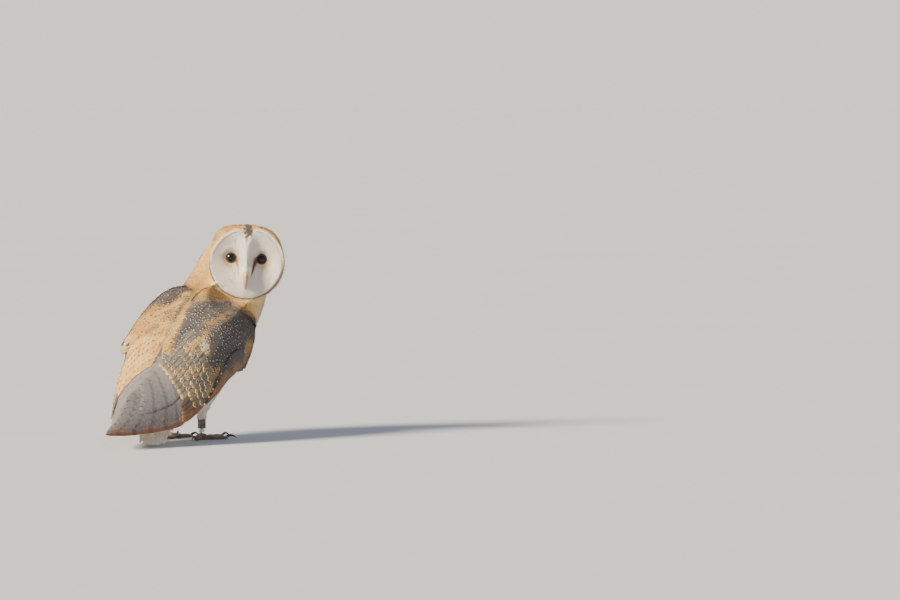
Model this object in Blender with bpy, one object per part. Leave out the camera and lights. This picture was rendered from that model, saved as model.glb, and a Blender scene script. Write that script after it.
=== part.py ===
"""A life-size barn owl, standing, with its head turned back over its right shoulder.

The bird faces -Y, its left side is +X and the floor is the plane Z = 0. Tables are
in millimetres, in the bird's own terms: right, forward and up.
"""
import math

import bmesh
import bpy
from mathutils import Vector

MM = 0.001
GAP = 0.3                     # clearance between touching pieces
LEFT, RIGHT = -1, 1

# Head: the disc looks back over the right shoulder.
HEAD_TURN = math.radians(155.0)
HEAD_ROLL = math.radians(-3.0)
DISC_CENTRE = (49.0, 31.0, 195.0)
DISC_RADIUS = 39.4            # lower half of the facial disc
DISC_CHEEK = 1.2              # extra radius at the sides
DISC_BROW = 5.4               # extra radius at the two upper lobes
NOTCH_DEPTH = 7.0             # heart-shaped notch over the bill
NOTCH_WIDTH = math.radians(12.0)
CROWN_RISE = 2.6              # plumage above the disc
CROWN_SQUARE = {LEFT: 2.9, RIGHT: 3.8}  # superellipse power of the crown's outline
RUFF_WIDTH = 1.6              # plumage outside the disc's rim
HEAD_DEPTH = 47.0             # from the ruff to the back of the head
DISH_DEPTH = 7.5
DISH_RADIUS = 21.0
EYE_OFFSET = (17.0, 4.9)      # from the disc's centre, across and up
EYE_RADIUS = 8.5
EYE_DEPTH = 13.0              # centre of the eyeball behind the rim
EYE_SEGMENTS = 12
EYE_RINGS = 8
RIDGE_WIDTH = 7.0
FACE_RINGS = (0.12, 0.25, 0.4, 0.56, 0.73, 0.88, 0.96)
BACK_STEPS = 6
HEAD_SIDES = 26
FACE_LIFT = 0.5               # of the face's surface, forward of the rim
FACE_FADE = 6.0               # how fast the relief dies out toward the rim
BACK_START = -2.5             # where the ruff begins, behind the rim
BACK_SWEEP = math.radians(84.0)
BACK_ROUND = 0.8              # below 1, the back of the head is fuller than a ball

# Feathered ridge down the face: up, height
RIDGE = ((38.0, 1.0), (24.0, 8.0), (8.0, 12.5), (-6.0, 13.0), (-14.0, 9.0), (-22.0, 4.5), (-38.0, 0.5))
# Bill: up, forward of the rim, half width
UPPER_BILL = ((-6.0, 5.0, 4.0), (-12.0, 8.6, 4.4), (-19.0, 10.6, 3.6), (-25.5, 9.4, 2.3), (-30.5, 5.4, 0.6))
LOWER_BILL = ((-12.0, 2.0, 2.6), (-18.0, 4.6, 2.9), (-24.0, 5.4, 2.2), (-27.6, 4.2, 0.8))
BILL_SIDES = 8
BILL_FLATNESS = 0.8           # width over height of a section

# Body: right, forward, up, pitch, turn to the right, half width, dorsal and ventral half height
BODY = (
    (0.0, -84.0, 50.0, 34.0, 0.0, 9.0, 7.0, 7.0),
    (0.0, -70.0, 58.0, 34.0, 0.0, 26.0, 19.0, 20.0),
    (0.0, -46.0, 76.0, 36.0, 0.0, 41.0, 30.0, 31.0),
    (0.0, -16.0, 98.0, 36.0, 0.0, 50.0, 37.0, 42.0),
    (0.0, 14.0, 118.0, 38.0, 0.0, 53.0, 41.0, 48.0),
    (2.0, 37.0, 134.0, 46.0, 2.0, 54.0, 41.0, 45.0),
    (7.5, 51.0, 152.0, 58.0, 8.0, 51.5, 38.0, 39.0),
    (13.0, 57.0, 170.0, 70.0, 14.0, 48.0, 31.0, 36.0),
    (19.0, 56.0, 188.0, 80.0, 20.0, 43.0, 20.0, 25.0),
    (24.5, 56.5, 206.0, 86.0, 25.0, 38.5, 17.0, 13.0),
    (29.8, 57.0, 219.0, 90.0, 25.0, 32.0, 13.0, 7.0),
    (34.0, 57.5, 228.0, 90.0, 25.0, 23.0, 8.0, 4.0),
)
BODY_SIDES = 16
BODY_SQUARE = 2.3             # superellipse power of a section
NECK_START = 5.6              # row at which the neck begins
ROW_STEPS = 1.5               # sections for each row of the table
BODY_ROW_LENGTH = 16.0        # from one row to the next, near the neck
MOST_MITRE = 2.5              # limit on how far a sharp corner moves when a cutter swells
MOST_CUT = 0.4                # share left by a cut, below which the exact solver has failed

# Wing: top edge (right, forward, up), lower edge (right, forward, up), bulge, thickness
WING = (
    (36.0, 57.0, 149.0, 55.0, 20.0, 82.0, 15.0, 16.0),
    (25.0, 42.0, 160.0, 59.0, 4.0, 75.0, 22.0, 18.0),
    (8.0, 10.0, 168.0, 62.0, -20.0, 77.0, 27.0, 19.0),
    (3.0, -22.0, 155.0, 62.0, -48.0, 69.0, 24.0, 18.0),
    (3.0, -55.0, 130.0, 60.0, -76.0, 54.0, 18.0, 15.0),
    (2.0, -87.0, 101.0, 54.0, -102.0, 37.0, 13.0, 10.0),
    (1.0, -112.0, 82.0, 45.0, -124.0, 22.0, 10.0, 7.5),
    (-1.0, -136.0, 70.0, 35.0, -146.0, 17.5, 8.0, 6.0),
    (-4.0, -160.0, 58.0, 22.0, -172.0, 14.5, 6.0, 5.0),
    (-7.0, -192.0, 34.0, 9.0, -202.0, 13.0, 4.0, 4.0),
    (-8.0, -219.0, 21.0, -3.0, -223.0, 12.0, 1.5, 2.5),
)
WING_SIDES = 6                # cells from the top edge to the lower edge
EDGE_THICKNESS = 0.3          # of the full thickness, at both edges
COVERT_END = 5.2              # row where the flight feathers show
SECONDARY_END = 8.0
SECONDARY_SHARE = 0.52        # of the wing's height
COVERT_STEPS = 9
SECONDARY_STEPS = 5
TIP_STEPS = 4
ROW_GAP = 0.012               # the clearance, in rows along the wing
SHARE_GAP = 0.006             # the clearance, in shares of its height
TIP_START = 0.3               # rows past the last secondary where the wing's full height is primaries
TIP_SHARE = 0.12              # top of the primaries just past the last secondary
# Scapular lobes: right, forward, up, half width, half height, for each side
SCAPULARS = {
    RIGHT: (
        (26.0, 31.0, 156.0, 6.0, 4.0),
        (23.0, 18.0, 159.0, 15.0, 11.0),
        (21.0, -4.0, 153.0, 19.0, 14.0),
        (16.0, -34.0, 134.0, 18.0, 14.0),
        (10.0, -64.0, 114.0, 12.0, 11.0),
        (5.0, -86.0, 102.0, 5.0, 5.5),
    ),
    LEFT: (
        (-25.0, 31.0, 155.0, 6.0, 4.0),
        (-26.0, 18.0, 158.0, 16.0, 11.0),
        (-31.0, -4.0, 151.0, 20.0, 14.0),
        (-39.0, -31.0, 132.0, 18.0, 14.0),
        (-48.0, -55.0, 113.0, 12.0, 10.0),
        (-54.5, -72.0, 104.0, 5.0, 5.0),
    ),
}
SCAPULAR_TIPS = {RIGHT: (3.5, -93.0, 99.0), LEFT: (-57.0, -78.0, 102.0)}
# Alula and primary coverts, along the wing's lower edge
ALULA = ((54.0, -18.0, 80.0, 3.5, 3.0), (57.5, -44.0, 69.0, 9.0, 4.6), (57.5, -66.0, 57.0, 9.0, 4.6),
         (56.5, -88.0, 44.0, 4.0, 2.2))
BLADE_SIDES = 10
BLADE_STEPS = 8
SCAPULAR_TILT = {RIGHT: math.radians(30.0), LEFT: math.radians(-32.0)}

ALULA_TILT = math.radians(72.0)

# Tail: right, forward, up, half width, half thickness
TAIL = (
    (0.0, -60.0, 60.0, 19.0, 11.0),
    (1.0, -82.0, 45.0, 21.0, 8.0),
    (4.0, -104.0, 27.0, 20.0, 5.0),
    (7.0, -121.0, 12.0, 18.5, 3.2),
    (10.0, -134.0, 2.4, 16.5, 2.8),
    (13.0, -144.0, 1.3, 12.0, 1.6),
)
TAIL_TILT = math.radians(5.0)
TAIL_SIDES = 14
TAIL_STEPS = 10

# Leg: right, forward, up, half width, half depth
FOOT_CENTRE = (19.0, -24.0)
THIGH = ((24.0, 6.0, 80.0, 17.0, 26.0), (23.0, 2.0, 66.0, 15.0, 23.0), (21.0, -9.0, 50.0, 11.0, 15.0),
         (19.5, -18.0, 38.0, 7.5, 9.0), (19.0, -22.0, 30.0, 5.0, 6.0))
TARSUS = ((19.0, -22.0, 29.7, 4.4, 5.0), (19.0, -23.4, 23.0, 3.2, 3.2), (19.0, -23.8, 12.0, 3.1, 3.2),
          (19.0, -24.0, 7.4, 4.4, 4.6))
PAD_RADIUS = 7.0
PAD_TOP = 7.1
PAD_MIDDLE = 0.42             # of the height, the level at which the pad is widest
PAD_SEGMENTS = 12
PAD_RINGS = 6
RING_HEIGHT = (12.4, 22.6)
RING_WALL = 0.8
RING_BORE = 3.9
RING_SIDES = 18
RING_AHEAD = 0.3              # of the foot's centre, as the leg leans there
LEG_SIDES = 10
THIGH_STEPS = 6
TARSUS_STEPS = 5
# Toes: heading from forward, outward positive; length; root radius; claw length
TOES = {
    "inner": (-26.0, 27.0, 3.1, 13.0),
    "middle": (14.0, 34.0, 3.2, 14.0),
    "outer": (62.0, 25.0, 3.0, 12.0),
    "hind": (176.0, 16.0, 3.0, 13.0),
}
TOE_START = 4.0               # from the foot's centre to the toe's root
TOE_HEIGHT = 0.62             # centre height over radius, which leaves a flat underneath
TOE_TAPER = 0.78
KNUCKLE = 0.09                # swelling at each joint of a toe
KNUCKLE_COUNT = 3
TOE_END = 0.62                # of the last ring, where the claw grows
TOE_STEPS = 6
TOE_SIDES = 8
CLAW_SIDES = 5
CLAW_RADIUS = 1.7
CLAW_TIP = 0.3
CLAW_BEND = math.radians(95.0)
CLAW_LIFT = math.radians(38.0)   # how steeply it leaves the toe
CLAW_INSET = 1.0              # how far its root sits back in the toe
CLAW_RAISE = 1.6              # of its root over the toe's middle
CLAW_STEPS = 5
FLOOR_CLEARANCE = 0.5

COLOURS = {
    "buff": ((0.62, 0.40, 0.17, 1.0), 0.85, 0.0),
    "white": ((0.86, 0.82, 0.76, 1.0), 0.85, 0.0),
    "grey": ((0.33, 0.29, 0.26, 1.0), 0.85, 0.0),
    "barred": ((0.47, 0.35, 0.23, 1.0), 0.8, 0.0),
    "bill": ((0.74, 0.56, 0.45, 1.0), 0.4, 0.0),
    "eye": ((0.02, 0.012, 0.01, 1.0), 0.08, 0.0),
    "skin": ((0.36, 0.27, 0.23, 1.0), 0.6, 0.0),
    "claw": ((0.05, 0.04, 0.04, 1.0), 0.35, 0.0),
    "ring": ((0.5, 0.5, 0.5, 1.0), 0.35, 1.0),
}


WHOLE_SHAPES = {}             # each solid's mesh before its neighbours cut it


def clear_scene():
    for obj in list(bpy.data.objects):
        bpy.data.objects.remove(obj, do_unlink=True)


def material(key):
    """The Principled material of one colour family."""
    found = bpy.data.materials.get(key)
    if found:
        return found
    colour, roughness, metallic = COLOURS[key]
    made = bpy.data.materials.new(key)
    made.use_nodes = True
    shader = made.node_tree.nodes["Principled BSDF"]
    shader.inputs["Base Color"].default_value = colour
    shader.inputs["Roughness"].default_value = roughness
    shader.inputs["Metallic"].default_value = metallic
    return made


def place(right, forward, up):
    """A point of the bird, from right, forward and up in millimetres, to metres."""
    return Vector((-right, -forward, up)) * MM


def row_at(rows, t):
    """The row of a table at parameter t, on a smooth curve through its rows."""
    last = len(rows) - 1
    i = min(int(t), last - 1)
    u = t - i
    before, here, after, beyond = rows[max(i - 1, 0)], rows[i], rows[i + 1], rows[min(i + 2, last)]
    values = []
    for p, q, r, s in zip(before, here, after, beyond):
        bend = (2 * p - 5 * q + 4 * r - s) * u * u + (3 * q - p - 3 * r + s) * u ** 3
        values.append(0.5 * (2 * q + (r - p) * u + bend))
    return values


def steps_between(start, end, count):
    return [start + (end - start) * i / count for i in range(count + 1)]


def loft(name, rings, key, tips=(None, None)):
    """A closed solid over rings of points, ended by a flat fan or by a given tip."""
    bm = bmesh.new()
    loops = [[bm.verts.new(point) for point in ring] for ring in rings]
    count = len(loops[0])
    for lower, upper in zip(loops, loops[1:]):
        for i in range(count):
            j = (i + 1) % count
            bm.faces.new((lower[i], lower[j], upper[j], upper[i]))
    for ring, tip in ((loops[0], tips[0]), (loops[-1], tips[1])):
        middle = sum((v.co for v in ring), Vector()) / count
        apex = bm.verts.new(tip if tip else middle)
        for i in range(count):
            bm.faces.new((ring[i], ring[(i + 1) % count], apex))
    return solid_from(name, bm, key)


def solid_from(name, bm, key):
    """A smooth-shaded object from a bmesh, in triangles that point out."""
    bmesh.ops.recalc_face_normals(bm, faces=bm.faces)
    bmesh.ops.triangulate(bm, faces=bm.faces[:])
    mesh = bpy.data.meshes.new(name)
    bm.to_mesh(mesh)
    bm.free()
    mesh.shade_smooth()
    mesh.materials.append(material(key))
    WHOLE_SHAPES[name] = mesh.copy()
    obj = bpy.data.objects.new(name, mesh)
    bpy.context.scene.collection.objects.link(obj)
    return obj


def largest_piece(mesh):
    """Keep only the largest connected piece of a mesh."""
    bm = bmesh.new()
    bm.from_mesh(mesh)
    unseen = set(bm.verts)
    pieces = []
    while unseen:
        piece, front = set(), [next(iter(unseen))]
        while front:
            vert = front.pop()
            if vert in piece:
                continue
            piece.add(vert)
            front.extend(edge.other_vert(vert) for edge in vert.link_edges)
        unseen -= piece
        pieces.append(piece)
    pieces.sort(key=len, reverse=True)
    for piece in pieces[1:]:
        bmesh.ops.delete(bm, geom=list(piece), context="VERTS")
    bm.to_mesh(mesh)
    bm.free()


def swollen_copy(obj, amount):
    """A cutter: the object's uncut shape with its surface moved out, in millimetres."""
    mesh = WHOLE_SHAPES[obj.name].copy()
    bm = bmesh.new()
    bm.from_mesh(mesh)
    moves = [vert.normal * min(vert.calc_shell_factor(), MOST_MITRE) for vert in bm.verts]
    for vert, move in zip(bm.verts, moves):
        vert.co += move * amount * MM
    bm.to_mesh(mesh)
    bm.free()
    cutter = bpy.data.objects.new(obj.name + "_cutter", mesh)
    cutter.hide_render = True
    cutter.display_type = "WIRE"
    bpy.context.scene.collection.objects.link(cutter)
    return cutter


def bounds(obj):
    corners = [v.co for v in obj.data.vertices]
    return [(min(co[k] for co in corners), max(co[k] for co in corners)) for k in range(3)]


def boxes_meet(one, other):
    pairs = zip(bounds(one), bounds(other))
    return all(a[0] < b[1] and b[0] < a[1] for a, b in pairs)


def volume(mesh):
    bm = bmesh.new()
    bm.from_mesh(mesh)
    amount = bm.calc_volume()
    bm.free()
    return amount


def difference(target, cutter, solver):
    """The target's mesh less the cutter."""
    cut = target.modifiers.new("carve", "BOOLEAN")
    cut.operation = "DIFFERENCE"
    cut.solver = solver
    cut.object = cutter
    graph = bpy.context.evaluated_depsgraph_get()
    graph.update()
    result = bpy.data.meshes.new_from_object(target.evaluated_get(graph))
    target.modifiers.remove(cut)
    return result


def carve(target, tools, clearance=GAP):
    """Cut the target back from its neighbours, leaving the clearance between them."""
    for tool in tools:
        cutter = swollen_copy(tool, clearance)
        if boxes_meet(target, cutter):
            result = difference(target, cutter, "EXACT")
            if volume(result) < MOST_CUT * volume(target.data):
                result = difference(target, cutter, "MANIFOLD")
            target.data = result
            largest_piece(target.data)
        bpy.data.objects.remove(cutter, do_unlink=True)
    return target


def superellipse(angle, power):
    """Unit superellipse, as across and along values."""
    c, s = math.cos(angle), math.sin(angle)
    return (math.copysign(abs(c) ** (2 / power), c), math.copysign(abs(s) ** (2 / power), s))


# ---- body ----------------------------------------------------------------------------

def body_ring(t):
    """One section of neck, trunk or rump, square to the body's line."""
    right, forward, up, pitch, turn, half_width, dorsal, ventral = row_at(BODY, t)
    slope, yaw = math.radians(pitch), math.radians(turn)
    centre = Vector((right, forward, up))
    across = Vector((math.cos(yaw), math.sin(yaw), 0.0))
    rearward = Vector((math.sin(yaw), -math.cos(yaw), 0.0))
    back = rearward * math.sin(slope) + Vector((0.0, 0.0, math.cos(slope)))
    ring = []
    for i in range(BODY_SIDES):
        x, y = superellipse(2 * math.pi * i / BODY_SIDES, BODY_SQUARE)
        height = dorsal if y > 0 else ventral
        ring.append(place(*(centre + across * x * half_width + back * y * height)))
    return ring


def body_solid(name, start, end, key):
    count = max(2, round((end - start) * ROW_STEPS))
    return loft(name, [body_ring(t) for t in steps_between(start, end, count)], key)


def trunk():
    return body_solid("trunk", 0.0, NECK_START, "white")


def neck():
    gap_in_rows = GAP / BODY_ROW_LENGTH
    return body_solid("neck", NECK_START + gap_in_rows, len(BODY) - 1.0, "buff")


# ---- head ----------------------------------------------------------------------------

def head_axes():
    """Across the face, up the face and out of the face, in bird terms."""
    out = Vector((math.sin(HEAD_TURN), math.cos(HEAD_TURN), 0.0))
    level = Vector((-out.y, out.x, 0.0))
    up = Vector((0.0, 0.0, 1.0))
    cos_roll, sin_roll = math.cos(HEAD_ROLL), math.sin(HEAD_ROLL)
    return level * cos_roll + up * sin_roll, up * cos_roll - level * sin_roll, out


def on_head(across, up, out):
    """A point given in the face's own axes, in millimetres from the disc's centre."""
    side, rise, front = head_axes()
    return place(*(Vector(DISC_CENTRE) + side * across + rise * up + front * out))


def disc_radius(angle):
    """Edge of the heart-shaped disc, at an angle from straight across."""
    upper = max(0.0, math.sin(angle))
    notch = math.exp(-((angle - math.pi / 2) / NOTCH_WIDTH) ** 2)
    lobes = DISC_BROW * upper ** 0.6 * abs(math.sin(2 * angle))
    return DISC_RADIUS + DISC_CHEEK * math.cos(angle) ** 2 + lobes - NOTCH_DEPTH * notch


def crown_radius(angle):
    """Outline of the whole head, outside the disc."""
    c, s = abs(math.cos(angle)), math.sin(angle)
    side = DISC_RADIUS + DISC_CHEEK + RUFF_WIDTH
    if s <= 0.0:
        return DISC_RADIUS + RUFF_WIDTH + DISC_CHEEK * c * c
    top = DISC_RADIUS + RUFF_WIDTH + CROWN_RISE
    power = CROWN_SQUARE[LEFT if math.cos(angle) > 0.0 else RIGHT]
    return ((c / side) ** power + (s / top) ** power) ** (-1.0 / power)


def ridge_height(up):
    """Height of the feathered ridge between the eyes, by how far up the face."""
    for (top, high), (bottom, low) in zip(RIDGE, RIDGE[1:]):
        if up >= bottom:
            share = min(1.0, (top - up) / (top - bottom))
            return high + (low - high) * share
    return RIDGE[-1][1]


def face_depth(across, up):
    """Relief of the face, forward of the disc's rim: two dishes and a ridge."""
    eye_across, eye_up = EYE_OFFSET
    near = math.hypot(abs(across) - eye_across, up - eye_up)
    dish = -DISH_DEPTH * math.exp(-((near / DISH_RADIUS) ** 2))
    return dish + ridge_height(up) * math.exp(-((across / RIDGE_WIDTH) ** 2))


def head():
    rings = []
    for share in FACE_RINGS:
        ring = []
        for i in range(HEAD_SIDES):
            angle = 2 * math.pi * i / HEAD_SIDES
            radius = disc_radius(angle) * share
            across, up = radius * math.cos(angle), radius * math.sin(angle)
            fade = min(1.0, (1.0 - share) * FACE_FADE)
            ring.append(on_head(across, up, face_depth(across, up) * fade + FACE_LIFT))
        rings.append(ring)
    for step in range(BACK_STEPS + 1):
        turn = BACK_SWEEP * step / BACK_STEPS
        ring = []
        for i in range(HEAD_SIDES):
            angle = 2 * math.pi * i / HEAD_SIDES
            radius = crown_radius(angle) * math.cos(turn) ** BACK_ROUND
            ring.append(on_head(radius * math.cos(angle), radius * math.sin(angle),
                                BACK_START - HEAD_DEPTH * math.sin(turn)))
        rings.append(ring)
    nose = on_head(0.0, 0.0, face_depth(0.0, 0.0) + FACE_LIFT)
    nape = on_head(0.0, 0.0, BACK_START - HEAD_DEPTH)
    return loft("head", rings, "white", tips=(nose, nape))


def ball(name, centre, radius, key):
    bm = bmesh.new()
    bmesh.ops.create_uvsphere(bm, u_segments=EYE_SEGMENTS, v_segments=EYE_RINGS, radius=radius * MM)
    bmesh.ops.translate(bm, verts=bm.verts, vec=centre)
    return solid_from(name, bm, key)


def eye(side):
    """An eyeball; the bird's left eye is on the +across side of the face."""
    name = "eye_left" if side == LEFT else "eye_right"
    across = EYE_OFFSET[0] * (1 if side == LEFT else -1)
    return ball(name, on_head(across, EYE_OFFSET[1], -EYE_DEPTH), EYE_RADIUS, "eye")


def bill(name, rows):
    """One half of the bill: a tapering horn that curves down."""
    rings = []
    for t in steps_between(0.0, len(rows) - 1.0, 2 * (len(rows) - 1)):
        up, out, half = row_at(rows, t)
        ahead = row_at(rows, min(t + 0.05, len(rows) - 1.0))
        behind = row_at(rows, max(t - 0.05, 0.0))
        run = Vector((0.0, ahead[0] - behind[0], ahead[1] - behind[1])).normalized()
        thick = Vector((0.0, -run.z, run.y))
        ring = []
        for i in range(BILL_SIDES):
            angle = 2 * math.pi * i / BILL_SIDES
            wide = Vector((math.cos(angle) * half * BILL_FLATNESS, 0.0, 0.0))
            offset = wide + thick * math.sin(angle) * half
            ring.append(on_head(offset.x, up + offset.y, out + offset.z))
        rings.append(ring)
    return loft(name, rings, "bill")


# ---- wings ---------------------------------------------------------------------------

def wing_frame(t):
    """Top edge, lower edge and outward direction of the right wing at a row."""
    row = row_at(WING, t)
    top, low = Vector(row[0:3]), Vector(row[3:6])
    ahead = row_at(WING, min(t + 0.1, len(WING) - 1.0))
    behind = row_at(WING, max(t - 0.1, 0.0))
    run = Vector(ahead[0:3]) + Vector(ahead[3:6]) - Vector(behind[0:3]) - Vector(behind[3:6])
    out = (low - top).cross(run).normalized()
    if out.x < 0:
        out = -out
    return top, low, out, row[6], row[7]


def wing_ring(t, first, last, side):
    """A closed section of the wing between two shares of its height."""
    top, low, out, bulge, thick = wing_frame(t)
    outer, inner = [], []
    for share in steps_between(first, last, WING_SIDES):
        arch = 4.0 * share * (1.0 - share)
        point = top + (low - top) * share + out * bulge * arch
        local = (share - first) / (last - first)
        full = math.sqrt(max(0.0, 4.0 * local * (1.0 - local)))
        depth = thick * (EDGE_THICKNESS + (1.0 - EDGE_THICKNESS) * full)
        outer.append(point)
        inner.append(point - out * depth)
    ring = outer + inner[::-1]
    return [place(side * p.x, p.y, p.z) for p in ring]


def side_name(side):
    return "left" if side == LEFT else "right"


def wing_coverts(side):
    rows = steps_between(0.0, COVERT_END, COVERT_STEPS)
    rings = [wing_ring(t, 0.0, 1.0, side) for t in rows]
    return loft("wing_%s_coverts" % side_name(side), rings, "grey" if side == RIGHT else "buff")


def wing_secondaries(side):
    rows = steps_between(COVERT_END + ROW_GAP, SECONDARY_END, SECONDARY_STEPS)
    rings = [wing_ring(t, 0.0, SECONDARY_SHARE, side) for t in rows]
    return loft("wing_%s_secondaries" % side_name(side), rings, "barred")


def wing_primaries(side):
    under = steps_between(COVERT_END + ROW_GAP, SECONDARY_END, SECONDARY_STEPS)
    beyond = steps_between(SECONDARY_END + TIP_START, len(WING) - 1.0, TIP_STEPS)
    near = [(t, SECONDARY_SHARE + SHARE_GAP) for t in under]
    far = [(SECONDARY_END + ROW_GAP, TIP_SHARE)] + [(t, 0.0) for t in beyond]
    rings = [wing_ring(t, first, 1.0, side) for t, first in near + far]
    return loft("wing_%s_primaries" % side_name(side), rings, "barred")


def blade(name, rows, key, tilt_out=0.0, side=RIGHT, grid=(BLADE_SIDES, BLADE_STEPS), tips=(None, None)):
    """A flattened solid along a table of right, forward, up, half width, half thickness."""
    sides, steps = grid
    rings = []
    for t in steps_between(0.0, len(rows) - 1.0, steps):
        right, forward, up, half, thick = row_at(rows, t)
        ahead = row_at(rows, min(t + 0.05, len(rows) - 1.0))
        behind = row_at(rows, max(t - 0.05, 0.0))
        run = (Vector(ahead[0:3]) - Vector(behind[0:3])).normalized()
        across = Vector((math.cos(tilt_out), 0.0, -math.sin(tilt_out)))
        across = (across - run * across.dot(run)).normalized()
        normal = across.cross(run).normalized()
        ring = []
        for i in range(sides):
            angle = 2 * math.pi * i / sides
            offset = across * math.cos(angle) * half + normal * math.sin(angle) * thick
            ring.append(place(side * (right + offset.x), forward + offset.y, max(up + offset.z, 0.0)))
        rings.append(ring)
    return loft(name, rings, key, tips)


def scapulars(side):
    key = "grey" if side == RIGHT else "buff"
    tips = (None, place(*SCAPULAR_TIPS[side]))
    return blade("scapulars_%s" % side_name(side), SCAPULARS[side], key, SCAPULAR_TILT[side], tips=tips)


def alula(side):
    return blade("wing_%s_alula" % side_name(side), ALULA, "grey",
                 tilt_out=ALULA_TILT, side=side)


def tail():
    return blade("tail", TAIL, "white", TAIL_TILT, grid=(TAIL_SIDES, TAIL_STEPS))


# ---- legs ----------------------------------------------------------------------------

def leg_part(name, rows, key, side, steps):
    """A limb section, cut level, from a table of centre, half width and half depth."""
    rings = []
    for t in steps_between(0.0, len(rows) - 1.0, steps):
        right, forward, up, half_width, half_depth = row_at(rows, t)
        ring = []
        for i in range(LEG_SIDES):
            angle = 2 * math.pi * i / LEG_SIDES
            ring.append(place(side * (right + math.cos(angle) * half_width),
                              forward + math.sin(angle) * half_depth, up))
        rings.append(ring)
    return loft(name, rings, key)


def sole(side):
    """The ball of the foot, flat underneath."""
    bm = bmesh.new()
    bmesh.ops.create_uvsphere(bm, u_segments=PAD_SEGMENTS, v_segments=PAD_RINGS, radius=PAD_RADIUS * MM)
    centre_height = PAD_TOP * PAD_MIDDLE
    for vert in bm.verts:
        vert.co.z *= (PAD_TOP - centre_height) / PAD_RADIUS
    bmesh.ops.translate(bm, verts=bm.verts, vec=place(side * FOOT_CENTRE[0], FOOT_CENTRE[1], centre_height))
    cut = bmesh.ops.bisect_plane(bm, geom=bm.verts[:] + bm.edges[:] + bm.faces[:], dist=1e-7,
                                 plane_co=(0.0, 0.0, 0.0), plane_no=(0.0, 0.0, -1.0), clear_outer=True)
    rim = [item for item in cut["geom_cut"] if isinstance(item, bmesh.types.BMEdge)]
    bmesh.ops.edgeloop_fill(bm, edges=rim)
    return solid_from("foot_%s" % side_name(side), bm, "skin")


def toe_line(heading, side, distance):
    """A point on the floor at a distance from the foot's centre along a toe."""
    turn = math.radians(heading)
    return (side * (FOOT_CENTRE[0] + math.sin(turn) * distance), FOOT_CENTRE[1] + math.cos(turn) * distance)


def toe(side, which):
    heading, length, radius, _ = TOES[which]
    turn = math.radians(heading)
    across = Vector((side * math.cos(turn), -math.sin(turn), 0.0))
    rings = []
    for i, share in enumerate(steps_between(0.0, 1.0, TOE_STEPS)):
        swell = 1.0 + KNUCKLE * math.cos(share * KNUCKLE_COUNT * 2 * math.pi)
        taper = 1.0 + (TOE_TAPER - 1.0) * share
        r = radius * taper * swell
        if i == TOE_STEPS:
            r = radius * TOE_TAPER * TOE_END
        height = radius * taper * TOE_HEIGHT
        right, forward = toe_line(heading, side, TOE_START + length * share)
        ring = []
        for k in range(TOE_SIDES):
            angle = 2 * math.pi * k / TOE_SIDES
            offset = across * math.cos(angle) * r
            up = max(0.0, height + math.sin(angle) * r)
            ring.append(place(right + offset.x, forward + offset.y, up))
        rings.append(ring)
    return loft("toe_%s_%s" % (side_name(side), which), rings, "skin")


def claw(side, which):
    """A curved horn that leaves the toe's end level and bends down toward the floor."""
    heading, toe_length, radius, length = TOES[which]
    turn = math.radians(heading)
    bow = length / CLAW_BEND
    start = TOE_START + toe_length - CLAW_INSET
    base_height = radius * TOE_TAPER * TOE_HEIGHT + CLAW_RAISE
    lift = CLAW_LIFT
    across = Vector((side * math.cos(turn), -math.sin(turn), 0.0))
    ahead = Vector((side * math.sin(turn), math.cos(turn), 0.0))
    rings = []
    for share in steps_between(0.0, 1.0, CLAW_STEPS):
        angle = lift - CLAW_BEND * share
        forward = bow * (math.sin(lift) - math.sin(angle))
        rise = bow * (math.cos(angle) - math.cos(lift))
        r = CLAW_RADIUS + (CLAW_TIP - CLAW_RADIUS) * share ** 1.3
        right, front = toe_line(heading, side, start + forward)
        centre = Vector((right, front, base_height + rise))
        normal = Vector((0.0, 0.0, 1.0)) * math.cos(angle) - ahead * math.sin(angle)
        ring = []
        for k in range(CLAW_SIDES):
            around = 2 * math.pi * k / CLAW_SIDES
            point = centre + across * math.cos(around) * r * 0.8 + normal * math.sin(around) * r
            ring.append(place(point.x, point.y, max(point.z, FLOOR_CLEARANCE)))
        rings.append(ring)
    return loft("claw_%s_%s" % (side_name(side), which), rings, "claw")


def leg_ring():
    """The metal band round the right leg."""
    low, high = RING_HEIGHT
    inner = RING_BORE
    outer = inner + RING_WALL
    profile = ((inner, low), (outer, low), (outer, high), (inner, high))
    bm = bmesh.new()
    loops = []
    for i in range(RING_SIDES):
        angle = 2 * math.pi * i / RING_SIDES
        loop = []
        for radius, up in profile:
            loop.append(bm.verts.new(place(FOOT_CENTRE[0] + math.cos(angle) * radius,
                                           FOOT_CENTRE[1] + RING_AHEAD + math.sin(angle) * radius, up)))
        loops.append(loop)
    for i in range(RING_SIDES):
        here, there = loops[i], loops[(i + 1) % RING_SIDES]
        for k in range(4):
            m = (k + 1) % 4
            bm.faces.new((here[k], here[m], there[m], there[k]))
    return solid_from("leg_ring", bm, "ring")


# ---- assembly ------------------------------------------------------------------------

def build_head_and_neck():
    skull = head()
    throat = carve(neck(), [skull])
    return skull, throat


def build_face(skull):
    upper = bill("bill_upper", UPPER_BILL)
    lower = carve(bill("bill_lower", LOWER_BILL), [upper])
    carve(skull, [eye(LEFT), eye(RIGHT), upper, lower])


def build_wings(solids):
    lobes = [carve(scapulars(side), solids) for side in (RIGHT, LEFT)]
    wings = []
    for side in (RIGHT, LEFT):
        thumb = alula(side)
        neighbours = solids + lobes + [thumb] + wings
        makers = (wing_coverts, wing_secondaries, wing_primaries)
        flight = [carve(make(side), neighbours) for make in makers]
        wings += [thumb] + flight
    return lobes + wings


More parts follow.
